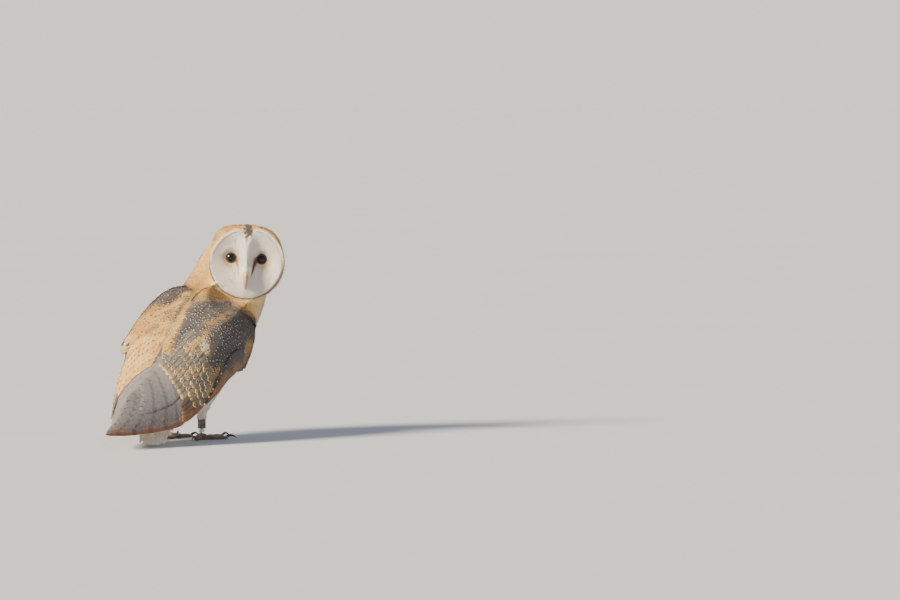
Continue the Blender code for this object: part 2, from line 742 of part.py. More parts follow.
def build_legs(solids):
    legs = []
    for side in (RIGHT, LEFT):
        name = side_name(side)
        legs.append(carve(leg_part("thigh_%s" % name, THIGH, "white", side, THIGH_STEPS), solids))
        shank = leg_part("tarsus_%s" % name, TARSUS, "white", side, TARSUS_STEPS)
        pad = carve(sole(side), [shank])
        digits = [pad]
        for which in TOES:
            digit = carve(toe(side, which), digits)
            digits += [digit, carve(claw(side, which), [digit])]
        legs += [shank] + digits
    return legs


def stand_on_origin():
    """Move everything so that the middle of the box's underside is the origin."""
    corners = [v.co for obj in bpy.data.objects for v in obj.data.vertices]
    middle = Vector()
    for axis in (0, 1):
        values = [co[axis] for co in corners]
        middle[axis] = (min(values) + max(values)) / 2
    for obj in bpy.data.objects:
        obj.location = -middle
    print("shift (mm):", [round(value / MM, 2) for value in middle])


def build():
    clear_scene()
    skull, throat = build_head_and_neck()
    wings = build_wings([skull, throat])
    body = carve(trunk(), [skull] + wings)
    build_face(skull)
    rear = carve(tail(), [body] + wings)
    build_legs([body, rear] + wings)
    leg_ring()
    stand_on_origin()


build()
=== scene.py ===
# %% [markdown]
# # A barn owl that looks back over its shoulder
# A museum shows an owl as a skin over a sculpted body, with every feather laid back in its
# place. This lesson builds the looks the same way: first one skin that lies a few millimetres
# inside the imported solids, then vanes that root in it and follow the lie of the plumage.
# All lengths in the tables are millimetres, in the bird's own terms: right, forward and up.

# %% Load the solids
import math

import bmesh
import bpy
import numpy as np
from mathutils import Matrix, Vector
from mathutils.bvhtree import BVHTree
from mathutils.kdtree import KDTree


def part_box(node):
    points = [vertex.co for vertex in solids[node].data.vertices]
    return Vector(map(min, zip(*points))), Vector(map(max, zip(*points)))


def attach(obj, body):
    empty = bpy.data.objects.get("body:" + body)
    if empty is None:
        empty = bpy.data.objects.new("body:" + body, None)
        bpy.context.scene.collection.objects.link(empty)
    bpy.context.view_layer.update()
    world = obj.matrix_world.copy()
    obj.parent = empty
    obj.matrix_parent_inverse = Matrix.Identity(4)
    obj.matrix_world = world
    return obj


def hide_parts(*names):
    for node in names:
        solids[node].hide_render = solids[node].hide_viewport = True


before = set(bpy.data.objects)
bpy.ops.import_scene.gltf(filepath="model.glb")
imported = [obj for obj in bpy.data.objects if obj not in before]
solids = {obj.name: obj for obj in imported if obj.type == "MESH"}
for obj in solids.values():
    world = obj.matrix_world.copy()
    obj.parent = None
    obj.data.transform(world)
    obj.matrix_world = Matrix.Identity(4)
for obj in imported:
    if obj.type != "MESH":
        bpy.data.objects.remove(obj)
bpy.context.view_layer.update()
MM = 0.001
SIDES = ("right", "left")
chance = np.random.default_rng(11)
print("solids:", len(solids))

# %% [markdown]
# ## The bird's own directions
# The solids stand in world space, yet an owl is easier to describe from its own feet and its
# own face. The leg ring marks the right foot, and the two eyeballs give the tilt and the turn
# of the head, so both frames are read from the solids and nothing is placed by eye.

# %% Body terms
# from the ring's middle to the point on the floor that all places count from
FOOT_RIGHT = 19.0
FOOT_FORWARD = -23.7


def middle(node):
    """The middle of a solid's box."""
    low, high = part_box(node)
    return np.array((low + high) / 2)


ground = middle("leg_ring") + np.array((FOOT_RIGHT, FOOT_FORWARD, 0.0)) * MM
ground[2] = 0.0


def place(right, forward, up):
    """World points from right, forward and up in millimetres."""
    right, forward, up = np.broadcast_arrays(right, forward, up)
    return np.stack((-right, -forward, up), axis=-1) * MM + ground


def bird_terms(points):
    """Right, forward and up in millimetres of world points."""
    local = (np.asarray(points) - ground) / MM
    return -local[..., 0], -local[..., 1], local[..., 2]


print("ground (m):", np.round(ground, 4))

# %% [markdown]
# ### The face's own directions
# The head is turned far round, so nothing on the face runs along a world axis. The line between
# the eyeballs gives across, and the other two directions follow from it. The face is then
# described as if the bird looked straight ahead.

# %% Face terms
# from the disc's centre to the centre of each eyeball
EYE_ACROSS = 17.0
EYE_UP = 4.9
EYE_DEPTH = 13.0
EYE_RADIUS = 8.5


def unit(vectors):
    """The same directions with length 1."""
    vectors = np.asarray(vectors, float)
    return vectors / np.maximum(np.linalg.norm(vectors, axis=-1, keepdims=True), 1e-12)


face_across = unit(middle("eye_left") - middle("eye_right"))
face_out = unit(np.cross(face_across, (0.0, 0.0, 1.0)))
face_up = np.cross(face_out, face_across)
eye_middle = (middle("eye_left") + middle("eye_right")) / 2
disc_centre = eye_middle + (face_out * EYE_DEPTH - face_up * EYE_UP) * MM


def on_head(across, up, out):
    """World points from millimetres across, up and out of the face."""
    across, up, out = (np.asarray(v, float)[..., None] for v in np.broadcast_arrays(across, up, out))
    return disc_centre + (face_across * across + face_up * up + face_out * out) * MM


def head_terms(points):
    """Across, up and out of the face in millimetres of world points."""
    local = (np.asarray(points) - disc_centre) / MM
    return local @ face_across, local @ face_up, local @ face_out


print("the face looks along", np.round(face_out, 2))

# %% [markdown]
# ## Shader sums as plain expressions
# A feather's colour is arithmetic: a ground colour, a veil, a dot where two distances are
# small. Node trees hide such sums, so one small class wraps a socket and lets Python's own
# operators add the Math nodes. Colours go through Mix, since a Math node would turn them grey.

# %% The wrapped socket
def operator(operation, swapped=False):
    """A method that adds one Math node; swapped puts the other value first."""
    def method(self, *others):
        values = (self, *others)
        inputs = dict(enumerate(values[::-1] if swapped else values))
        return self.bench.node("ShaderNodeMath", {"operation": operation}, inputs)
    return method


class Wire:
    """One output of a node, with the arithmetic of numbers."""

    def __init__(self, bench, socket):
        self.bench = bench
        self.socket = socket

    __add__, __radd__ = operator("ADD"), operator("ADD", True)
    __sub__, __rsub__ = operator("SUBTRACT"), operator("SUBTRACT", True)
    __mul__, __rmul__ = operator("MULTIPLY"), operator("MULTIPLY", True)
    __pow__, __abs__ = operator("POWER"), operator("ABSOLUTE")
    sine, least = operator("SINE"), operator("MINIMUM")

    def step(self, low, high):
        """0 below low, 1 above high and smooth between; low above high turns it round."""
        inputs = {"Value": self, "From Min": low, "From Max": high}
        return self.bench.node("ShaderNodeMapRange", {"interpolation_type": "SMOOTHSTEP"}, inputs)


print("sums of sockets ready")

# %% [markdown]
# ### The bench
# A finish is made on a bench: one method adds any node by its type, its settings and what its
# sockets hold, and the others are short names for nodes that come back. The sky is made on the
# same bench, since a world has a node tree too.

# %% The bench
class Bench:
    """A new material or world, and the one method that adds a node to it."""

    def __init__(self, name, kind="materials"):
        self.owner = getattr(bpy.data, kind).new(name)
        self.owner.use_nodes = True
        self.tree = self.owner.node_tree

    def plug(self, socket, value):
        """Link a wire to a socket, or set the socket to a number or a colour."""
        if isinstance(value, Wire):
            self.tree.links.new(value.socket, socket)
        elif socket.type == "RGBA" and len(value) == 3:
            socket.default_value = (*value, 1.0)
        else:
            socket.default_value = value

    def node(self, kind, settings=None, inputs=None, output=0):
        """Add a node: its settings first, then the values or links of its sockets."""
        made = self.tree.nodes.new(kind)
        for name, value in (settings or {}).items():
            setattr(made, name, value)
        for name, value in (inputs or {}).items():
            self.plug(made.inputs[name], value)
        return Wire(self, made.outputs[output])

    def mix(self, first, second, share):
        """From the first colour to the second; the numbered sockets are the ones for colours."""
        inputs = {0: share, 6: first, 7: second}
        return self.node("ShaderNodeMix", {"data_type": "RGBA"}, inputs, output=2)

    def split(self, vector):
        """The three numbers of a vector."""
        outputs = self.node("ShaderNodeSeparateXYZ", None, {0: vector}).socket.node.outputs
        return [Wire(self, outputs[k]) for k in range(3)]

    def parts(self, attribute):
        """The three numbers of a named vector attribute."""
        settings = {"attribute_name": attribute}
        return self.split(self.node("ShaderNodeAttribute", settings, output="Vector"))

    def vector(self, x, y, z):
        return self.node("ShaderNodeCombineXYZ", None, {0: x, 1: y, 2: z})

    def place(self):
        return self.node("ShaderNodeTexCoord", output="Object")

    def noise(self, vector, scale, detail, roughness=0.5):
        inputs = {"Vector": vector, "Scale": scale, "Detail": detail, "Roughness": roughness}
        return self.node("ShaderNodeTexNoise", None, inputs, output="Fac")

    def finish(self, colour, roughness, height=None, depth=0.0003, **constants):
        """Plug the colour, the roughness and a bump; set what is the same all over."""
        sockets = self.tree.nodes["Principled BSDF"].inputs
        self.plug(sockets["Base Color"], colour)
        self.plug(sockets["Roughness"], roughness)
        for name, value in constants.items():
            sockets[name.replace("_", " ")].default_value = value
        if height is not None:
            inputs = {"Strength": 1.0, "Distance": depth, "Height": height}
            self.plug(sockets["Normal"], self.node("ShaderNodeBump", None, inputs))
        return self.owner


print("shader bench ready")

# %% [markdown]
# ## The finish of a feather
# Each vane carries its own ruler: millimetres from the shaft, millimetres from the tip, and a
# number of chance. With them one material serves the whole coat. The ground runs from white to
# golden buff, a grey marbling veils it, and near the tip sit a dark dot and a white one.
# The long feathers swap the dots for bars. How much of each a feather has is stored with it.

# %% Feather material
WHITE = (0.88, 0.84, 0.78)
CREAM = (0.74, 0.505, 0.17)
GOLD = (0.46, 0.222, 0.028)
PALE_GREY = (0.038, 0.046, 0.072)
DARK_GREY = (0.009, 0.012, 0.025)
RUST = (0.22, 0.070, 0.020)
UMBER = (0.014, 0.009, 0.007)
DOT_WHITE = (0.88, 0.85, 0.80)
BARB_LIGHT = (1.0, 0.95, 0.88)
BAR_STEP = 18.2
FIRST_BAR = 4.0
SPECKLE_SCALE = 0.62
CLOUD_SCALE = 55.0
BARB_DEPTH = 0.00008


def plumage(name, speckle_size=1.0, pale=PALE_GREY, dark_grey=DARK_GREY, soft=0.0):
    """The coat's material: ground, veil, dots, bars and barbs, each by the vane's own numbers."""
    bench = Bench(name)
    off_shaft, from_tip, luck = bench.parts("vane")
    gold, grey, rust = bench.parts("plume")
    dots, bars, dark = bench.parts("marks")
    cloud = bench.noise(bench.place(), CLOUD_SCALE, 3.0)
    spot = bench.vector(off_shaft * 1.4, from_tip * 2.4, luck * 90.0)
    grain = bench.noise(spot, SPECKLE_SCALE / speckle_size, 3.0, 0.65)
    ground = bench.mix(WHITE, CREAM, (gold * 2.0).least(1.0))
    deep_gold = gold * 2.0 - 1.0 + (cloud - 0.5) * 0.9 + (luck - 0.5) * 0.25
    ground = bench.mix(ground, GOLD, deep_gold.step(0.0, 1.0))
    ground = bench.mix(ground, RUST, (rust + (grain - 0.5) * 0.5 * rust).step(0.05, 0.95))
    marbling = bench.mix(pale, dark_grey, grain.step(0.36 - soft, 0.60 + soft))
    veil = (grey * 1.5 - 0.25 + (grain - 0.5) * 1.1 + (cloud - 0.5) * 0.7).step(0.05, 0.75)
    colour = bench.mix(ground, marbling, veil * grey.step(0.0, 0.15) * 0.92)
    bar_wave = ((from_tip + FIRST_BAR + grain * 2.2) * (2 * math.pi / BAR_STEP)).sine()
    colour = bench.mix(colour, UMBER, bar_wave.step(0.72 - 1.6 * soft, 0.97) * bars * 0.85)
    from_black = (off_shaft * off_shaft + (from_tip - dots * 2.3) ** 2.0 * 0.6) ** 0.5
    colour = bench.mix(colour, UMBER, (dots * 1.25 - from_black).step(0.0, 0.4) * 0.95)
    from_white = (off_shaft * off_shaft + (from_tip - dots * 0.8) ** 2.0) ** 0.5
    colour = bench.mix(colour, DOT_WHITE, (dots * 0.60 - from_white).step(0.0, 0.3) * 0.95)
    colour = bench.mix(colour, UMBER, dark)
    barbs = ((from_tip + abs(off_shaft) * 1.1 + grain * 0.8) * 9.0).sine() * 0.5 + 0.5
    shaft = abs(off_shaft).step(0.30, 0.05)
    colour = bench.mix(colour, BARB_LIGHT, barbs * 0.06)
    colour = bench.mix(colour, UMBER, shaft * 0.10)
    return bench.finish(colour, 0.72 + grain * 0.2, barbs * 0.6 + shaft, BARB_DEPTH,
                        Sheen_Weight=0.10, Sheen_Roughness=0.55, Specular_IOR_Level=0.25)


feather_finish = plumage("feather")
print("feather material:", len(feather_finish.node_tree.nodes), "nodes")

# %% [markdown]
# ## One skin for the whole bird
# On the real owl the feathers root in a single skin, so seams between neck, trunk and wing must
# not show. The skin is kept as arrays of points and triangles, since everything that follows is
# an average over neighbours: relaxing, blending regions, blurring directions.

# %% Points, triangles and neighbours
class Surface:
    """A triangle mesh as arrays, with the averages over neighbours that relaxing needs."""

    def __init__(self, points, triangles):
        self.points = points
        self.triangles = triangles
        pairs = np.vstack((triangles[:, :2], triangles[:, 1:], triangles[:, ::2]))
        pairs = np.unique(np.sort(pairs, axis=1), axis=0)
        self.starts = np.concatenate((pairs[:, 0], pairs[:, 1]))
        self.ends = np.concatenate((pairs[:, 1], pairs[:, 0]))
        self.counts = np.maximum(np.bincount(self.starts, minlength=len(points)), 1)

    def neighbour_mean(self, values):
        """The mean of each point's neighbours, one column of the values at a time."""
        total = len(self.points)
        columns = [np.bincount(self.starts, column[self.ends], total) for column in values.T]
        return np.stack(columns, axis=1) / self.counts[:, None]

    def relaxed(self, values, rounds):
        """Values moved halfway to their neighbours' mean, round after round."""
        for _ in range(rounds):
            values = values + (self.neighbour_mean(values) - values) * 0.5
        return values

    def normals(self):
        """Point normals, as the mean of the faces round each point."""
        a, b, c = (self.points[self.triangles[:, k]] for k in range(3))
        flat = np.cross(b - a, c - a)
        columns = []
        for k in range(3):
            corner = [np.bincount(self.triangles[:, m], flat[:, k], len(self.points)) for m in range(3)]
            columns.append(sum(corner))
        return unit(np.stack(columns, axis=1))


def mesh_arrays(mesh):
    """A mesh's points and triangles as arrays."""
    points = np.empty(len(mesh.vertices) * 3)
    mesh.vertices.foreach_get("co", points)
    mesh.calc_loop_triangles()
    triangles = np.empty(len(mesh.loop_triangles) * 3, np.int32)
    mesh.loop_triangles.foreach_get("vertices", triangles)
    return points.reshape(-1, 3), triangles.reshape(-1, 3)


print("surface helper ready")

# %% [markdown]
# ### Melting solids together
# The solids meet in creases. Each one swells a little until the creases close, a voxel remesh
# takes the outer surface, and the closing share of the swelling comes off again.

# %% Melt the flesh into a skin
def melted(names, voxel, swell, rounds, closing=0.0):
    """One surface round several solids, swollen to close the gaps, remeshed and relaxed."""
    joined = bmesh.new()
    for name in names:
        part = bmesh.new()
        part.from_mesh(solids[name].data)
        bmesh.ops.remove_doubles(part, verts=part.verts, dist=2e-6)
        part.normal_update()
        for vert in part.verts:
            vert.co += vert.normal * (swell + closing) * MM
        copy = bpy.data.meshes.new("part")
        part.to_mesh(copy)
        part.free()
        joined.from_mesh(copy)
        bpy.data.meshes.remove(copy)
    mesh = bpy.data.meshes.new("joined")
    joined.to_mesh(mesh)
    joined.free()
    holder = bpy.data.objects.new("joined", mesh)
    bpy.context.scene.collection.objects.link(holder)
    remesh = holder.modifiers.new("melt", "REMESH")
    remesh.mode = "VOXEL"
    remesh.voxel_size = voxel * MM
    graph = bpy.context.evaluated_depsgraph_get()
    points, triangles = mesh_arrays(holder.evaluated_get(graph).to_mesh())
    surface = Surface(points, triangles)
    surface.points = surface.relaxed(points, rounds)
    surface.points = surface.points - surface.relaxed(surface.normals(), 2) * closing * MM
    bpy.data.objects.remove(holder, do_unlink=True)
    bpy.data.meshes.remove(mesh)
    return surface


def side_nodes(*patterns):
    """Both sides' names for each pattern."""
    return [pattern % side for pattern in patterns for side in SIDES]


FLESH = ["head", "neck", "trunk"] + side_nodes(
    "scapulars_%s", "wing_%s_coverts", "thigh_%s", "tarsus_%s")
SKIN_VOXEL = 1.5
SKIN_SWELL = 0.4
SKIN_ROUNDS = 6
CLOSING = 1.8
skin = melted(FLESH + side_nodes("eye_%s"), SKIN_VOXEL, SKIN_SWELL, SKIN_ROUNDS, CLOSING)
print("skin points:", len(skin.points), "triangles:", len(skin.triangles))

# %% [markdown]
# ## Regions of the skin
# Depth, lie and markings all depend on where a point is. Each point takes the name of a region,
# and the names blur into their neighbours, so that every rule fades from one region into the
# next. The face is bounded by the heart-shaped outline of the disc.

# %% The regions and the disc's outline
REGIONS = ("face", "head", "neck", "back", "wing", "belly", "thigh", "shank")
NUMBER = {name: number for number, name in enumerate(REGIONS)}
NODE_REGION = {"head": "head", "neck": "neck", "trunk": "belly"}
for side in SIDES:
    NODE_REGION["eye_" + side] = "face"
    NODE_REGION["scapulars_" + side] = "back"
    NODE_REGION["wing_%s_coverts" % side] = "wing"
    NODE_REGION["thigh_" + side] = "thigh"
    NODE_REGION["tarsus_" + side] = "shank"

DISC_RADIUS = 39.4
DISC_CHEEK = 1.2
DISC_BROW = {"left": 0.8, "right": -1.2}
NOTCH_DEPTH = 9.5
NOTCH_WIDTH = math.radians(10.0)


def disc_radius(angle):
    """Edge of the heart-shaped disc, at an angle from straight across the face."""
    notch = np.exp(-np.abs((angle - math.pi / 2) / NOTCH_WIDTH) ** 1.4)
    brow = np.where(np.cos(angle) > 0.0, DISC_BROW["left"], DISC_BROW["right"])
    lobes = brow * np.maximum(0.0, np.sin(angle)) ** 0.6 * np.abs(np.sin(2 * angle))
    return DISC_RADIUS + DISC_CHEEK * np.cos(angle) ** 2 + lobes - NOTCH_DEPTH * notch


def disc_share(points):
    """How far out on the disc a point is, 1 at the rim."""
    across, up, _ = head_terms(points)
    return np.hypot(across, up) / disc_radius(np.arctan2(up, across))


print("disc height:", round(float(disc_radius(math.pi / 2) + disc_radius(-math.pi / 2)), 1), "mm")

# %% [markdown]
# ### A name for every point
# The nearest solid gives most names. Two rules of direction add the rest: trunk that faces up or
# back is back, and whatever lies inside the disc's outline on the front of the head is face.

# %% Name every point
def nearest_solids(points, names):
    """The index of the nearest of the named solids, for each point."""
    corners, faces, owners = [], [], []
    total = 0
    for index, name in enumerate(names):
        co, tris = mesh_arrays(solids[name].data)
        corners.append(co)
        faces.append(tris + total)
        owners.append(np.full(len(tris), index))
        total += len(co)
    tree = BVHTree.FromPolygons(np.vstack(corners).tolist(), np.vstack(faces).tolist())
    found = np.array([tree.find_nearest(Vector(point))[2] for point in points])
    return np.concatenate(owners)[found]


def name_regions():
    """The region's number for each point of the skin."""
    names = list(NODE_REGION)
    region_of = np.array([NUMBER[NODE_REGION[name]] for name in names])
    label = region_of[nearest_solids(skin.points, names)]
    normals = skin.normals()
    _, forward, up = bird_terms(skin.points)
    upward = (normals[:, 2] > 0.2) & (forward < 45.0)
    rearward = (normals[:, 1] > 0.3) & (normals[:, 2] > -0.15) & (up > 72.0)
    trunk_top = (label == NUMBER["belly"]) & (upward | rearward)
    label[trunk_top] = NUMBER["back"]
    _, _, out = head_terms(skin.points)
    in_head = (label == NUMBER["head"]) | (label == NUMBER["face"])
    label[in_head] = NUMBER["head"]
    facing = normals @ face_out > 0.1
    in_disc = (disc_share(skin.points) < 1.0) & (out > -12.0)
    label[in_disc & (in_head | facing)] = NUMBER["face"]
    return label


region_label = name_regions()
weights = np.eye(len(REGIONS))[region_label]
weights = skin.relaxed(weights, 5)
print({name: int((region_label == k).sum()) for k, name in enumerate(REGIONS)})

# %% [markdown]
# ## The face
# A barn owl's face is a pair of shallow dishes that gather sound, split by a feathered ridge.
# Facets would show most here, where every eye looks first, so the points are spread evenly over
# the disc and then set to the height that a formula gives.

# %% Dishes and ridge
DISH_DEPTH = 4.6
DISH_RADIUS = 22.0
SOCKET_DEPTH = 2.6
SOCKET_RADIUS = 8.5
RIDGE_WIDTH = 6.2
RIDGE_UP = np.array((-38.0, -22.0, -14.0, -6.0, 8.0, 24.0, 38.0))
RIDGE_HIGH = np.array((0.5, 4.5, 9.0, 12.6, 12.0, 7.6, 1.0))
BROW_HIGH = 1.1
BROW_FROM_EYE = 10.5
BROW_WIDTH = 2.4
RIM_LIFT = 0.5
FACE_COAT = 1.0


def face_height(across, up):
    """Relief of the face over its rim: two dishes, a ridge and a brow over each eye."""
    from_eye = np.hypot(np.abs(across) - EYE_ACROSS, up - EYE_UP)
    share = np.hypot(across, up) / disc_radius(np.arctan2(up, across))
    inside = np.clip((1.02 - share) / 0.5, 0.0, 1.0)
    dish = -DISH_DEPTH * np.exp(-((from_eye / DISH_RADIUS) ** 2))
    dish = dish - SOCKET_DEPTH * np.exp(-((from_eye / SOCKET_RADIUS) ** 2))
    width = RIDGE_WIDTH * (1.0 + 0.012 * np.maximum(up, 0.0))
    ridge = np.interp(up, RIDGE_UP, RIDGE_HIGH) * np.exp(-((across / width) ** 2))
    brow = BROW_HIGH * np.exp(-((from_eye - BROW_FROM_EYE) / BROW_WIDTH) ** 2)
    brow = brow * np.clip((up - EYE_UP) / 9.0, 0.0, 1.0)
    return (dish + ridge + brow) * inside * (2.0 - inside)


def shape_face():
    """Spread the face's points evenly, then set each to the height of the relief."""
    across, up, _ = head_terms(skin.points)
    on_face = region_label == NUMBER["face"]
    flat = np.stack((across, up), axis=1)
    for _ in range(12):
        relaxed = skin.neighbour_mean(flat)
        flat[on_face] = relaxed[on_face]
    target = on_head(flat[:, 0], flat[:, 1], face_height(flat[:, 0], flat[:, 1]) + RIM_LIFT)
    skin.points[on_face] = target[on_face]


shape_face()
print("face spans", round(2 * DISC_RADIUS, 1), "mm")

# %% [markdown]
# ### Crown and chin
# Two places need a hand after the remesh. The crown stands a little higher behind the notch,
# and under the chin the shoulder gives way, because a bird that looks back lays its disc over
# the shoulder's feathers and not into them.

# %% Fill the crown and free the chin
CROWN_LIFT = 1.2


def fill_crown():
    """The crown's feathers stand up behind the notch, so the head's outline runs flat above it."""
    across, up, out = head_terms(skin.points)
    share = np.exp(-(across / 13.0) ** 2) * np.clip((up - 24.0) / 6.0, 0.0, 1.0)
    share = share * np.exp(-((out + 9.0) / 8.0) ** 2)
    skin.points = skin.points + face_up * (CROWN_LIFT * share[:, None] * MM)


def clear_chin():
    """The plumage of neck and shoulder parts round the disc, whose lower edge stays in front."""
    _, _, out = head_terms(skin.points)
    share = disc_share(skin.points)
    head_numbers = (NUMBER["face"], NUMBER["head"])
    body = ~np.isin(region_label, head_numbers) & (share < 1.5)
    limit = -5.0 + 110.0 * np.maximum(share - 1.03, 0.0)
    over = np.maximum(out - limit, 0.0) * body
    skin.points = skin.points - face_out * (over[:, None] * MM)
    near = skin.relaxed((over > 0.0)[:, None].astype(float), 4)
    skin.points = skin.points + (skin.relaxed(skin.points, 6) - skin.points) * near * body[:, None]
    print("the shoulder gives way by", round(over.max(), 1), "mm")


fill_crown()
clear_chin()

# %% [markdown]
# ### Room for the coat
# The solids show the bird with its feathers on, so the skin lies deeper: a millimetre on the
# face and the shanks, four on the belly. The step inward is blurred over the body, as a jump
# from one depth to the next would show through the coat as a ridge.

# %% Move the skin in by the coat's depth
COAT_DEPTH = {"face": FACE_COAT, "head": 2.6, "neck": 3.6, "back": 3.0, "wing": 2.8,
              "belly": 4.0, "thigh": 3.2, "shank": 0.9}


def by_region(values):
    """A number for each skin point, blended over the regions."""
    return weights @ np.array([values[name] for name in REGIONS], float)


depth = by_region(COAT_DEPTH)
skin.points = skin.points - skin.relaxed(skin.normals(), 3) * depth[:, None] * MM
body_columns = [NUMBER[name] for name in ("neck", "back", "wing", "belly")]
soft = weights[:, body_columns].sum(1, keepdims=True)
skin.points = skin.points + (skin.relaxed(skin.points, 12) - skin.points) * soft
skin_normals = unit(skin.relaxed(skin.normals(), 2))
print("coat depth from", round(depth.min(), 1), "to", round(depth.max(), 1), "mm")

# %% [markdown]
# ## The lie of the plumage
# Feathers point from head to tail, out from the eyes over the face, and down the legs. Each
# region states its own direction. Blurring the arrows over the surface joins them into one flow,
# and keeping only the part that lies in the surface lets them stroke the skin.

# %% Directions over the skin
# right, forward and up of the way the feathers point
BACKWARD = {"back": (0.0, -0.90, -0.43), "wing": (0.0, -0.88, -0.47),
            "belly": (0.0, -0.72, -0.69), "thigh": (0.0, -0.35, -0.94), "shank": (0.0, 0.0, -1.0)}
HEAD_MIDDLE = on_head(0.0, 0.0, -25.0)


def direction(right, forward, up):
    """A world direction from the bird's terms."""
    return unit(np.array((-right, -forward, up)))


def lie_of_feathers():
    """One arrow for each skin point, blended over the regions and laid into the surface."""
    arrows = np.zeros_like(skin.points)
    for name, terms in BACKWARD.items():
        arrows += weights[:, NUMBER[name], None] * direction(*terms)
    from_head = unit(skin.points - HEAD_MIDDLE)
    neckward = unit(from_head * 0.5 + direction(0.0, -0.25, -0.95))
    arrows += weights[:, NUMBER["neck"], None] * neckward
    arrows += weights[:, NUMBER["head"], None] * unit(-face_out + np.array((0.0, 0.0, -0.45)))
    arrows = skin.relaxed(arrows, 10)
    across, up, _ = head_terms(skin.points)
    side = np.where(across >= 0.0, 1.0, -1.0)
    from_eye = np.stack((across - side * EYE_ACROSS, up - EYE_UP), axis=1)
    on_ridge = np.exp(-((across / 5.5) ** 2)) * (up > -30.0)
    radial = unit(from_eye)
    plane_x = radial[:, 0] * (1.0 - on_ridge) + side * 0.15 * on_ridge
    plane_y = radial[:, 1] * (1.0 - on_ridge) - on_ridge
    face_arrow = plane_x[:, None] * face_across + plane_y[:, None] * face_up
    on_face = weights[:, :1].clip(0.0, 1.0)
    arrows = arrows * (1.0 - on_face) + unit(face_arrow) * on_face
    arrows -= skin_normals * (arrows * skin_normals).sum(1, keepdims=True)
    return unit(arrows)


flow = lie_of_feathers()
print("mean flow:", np.round(flow.mean(0), 2))

# %% [markdown]
# ## Markings
# The back of a barn owl is golden buff under a marbled grey veil, in patches that run along the
# feather tracts; the breast, the legs and the face are white. Each patch is a soft ellipse,
# placed by how far it is along the flank and how high. The skin and the vanes read the same
# rules, so a gap between feathers never shows a foreign colour.

# %% Patches
# how much a step forward and a step to the side count along the flank
FLANK_FORWARD = 0.4226
FLANK_RIGHT = 0.9063
# along the flank, up, half length, half height, turn in degrees, (gold, grey, rust); a later
# patch covers an earlier one: the last four are the dark lobe, the streak through it, and the
# band and the pale blotch below it
WING_PATCHES = (
    (35.0, 117.0, 21.0, 17.0, 10.0, (0.35, 1.00, 0.00)),
    (62.0, 128.0, 10.0, 14.0, 0.0, (0.50, 0.75, 0.10)),
    (11.0, 114.0, 5.0, 8.0, 15.0, (0.30, 0.45, 0.00)),
    (-4.0, 104.0, 16.0, 7.0, 15.0, (0.80, 0.52, 0.00)),
    (-27.0, 95.0, 12.0, 7.0, 15.0, (0.45, 0.95, 0.00)),
    (12.0, 92.0, 34.0, 6.5, 5.0, (0.50, 0.88, 0.05)),
    (2.0, 79.0, 30.0, 7.0, 8.0, (0.78, 0.46, 0.02)),
    (32.0, 66.0, 13.0, 20.0, -20.0, (0.70, 0.25, 0.75)),
    (66.0, 98.0, 9.0, 18.0, 0.0, (0.80, 0.20, 0.45)),
    (-15.0, 66.0, 24.0, 9.0, 10.0, (0.62, 0.66, 0.05)),
    (0.0, 131.0, 43.0, 14.0, 42.0, (0.30, 1.00, 0.00)),
    (26.0, 137.0, 17.0, 4.2, 12.0, (0.80, 0.42, 0.00)),
    (7.0, 117.0, 24.0, 5.0, 41.0, (0.74, 0.36, 0.03)),
    (14.5, 110.0, 5.0, 8.5, -10.0, (0.30, 0.28, 0.00)),
)
WING_GROUND = (0.76, 0.56, 0.06)


def patch_share(along, height, patch):
    """How much of a patch is at each place, 1 in its middle."""
    centre_along, centre_up, half_long, half_high, turn, _ = patch
    c, s = math.cos(math.radians(turn)), math.sin(math.radians(turn))
    x, y = along - centre_along, height - centre_up
    off_long = np.abs((x * c + y * s) / half_long) ** 3
    off_high = np.abs((y * c - x * s) / half_high) ** 3
    return np.exp(-(off_long + off_high))


def wing_plume(right, forward, up):
    """Gold, grey and rust on the folded wing."""
    along = FLANK_FORWARD * forward + FLANK_RIGHT * np.abs(right)
    plume = np.tile(np.array(WING_GROUND), (len(along), 1))
    for patch in WING_PATCHES:
        share = patch_share(along, up, patch)[:, None]
        plume = plume * (1.0 - share) + np.array(patch[5]) * share
    return plume


print("patches on the wing:", len(WING_PATCHES))

# %% [markdown]
# ### Rules of the face and the head
# Each rule takes points and returns two triples: gold, grey and rust of the ground, then dots,
# bars and darkness of the marks. The face is white with a brown streak that runs from each eye's
# inner corner to the bill. The crown is golden, with a grey wedge that starts at the notch. The
# left half of face and crown lies in shade, and there the extra grey and the darker streak are
# painted shade.

# %% Rules of the face and the head
STREAK_UP = (-16.0, -11.0, -5.0, 1.0, 4.0)
STREAK_ACROSS = (4.6, 5.8, 8.0, 10.4, 11.6)
STREAK_ENDS = (-16.0, 4.0)


def bump_at(value, centre, reach):
    """1 at the centre, fading to both sides."""
    return np.exp(-((value - centre) / reach) ** 2)


def rise(value, low, high):
    """0 below low, 1 above high, smooth between."""
    share = np.clip((value - low) / (high - low), 0.0, 1.0)
    return share * share * (3.0 - 2.0 * share)


def layered(*values):
    """Numbers and arrays side by side in a last column."""
    return np.stack(np.broadcast_arrays(*values), axis=-1).astype(float)


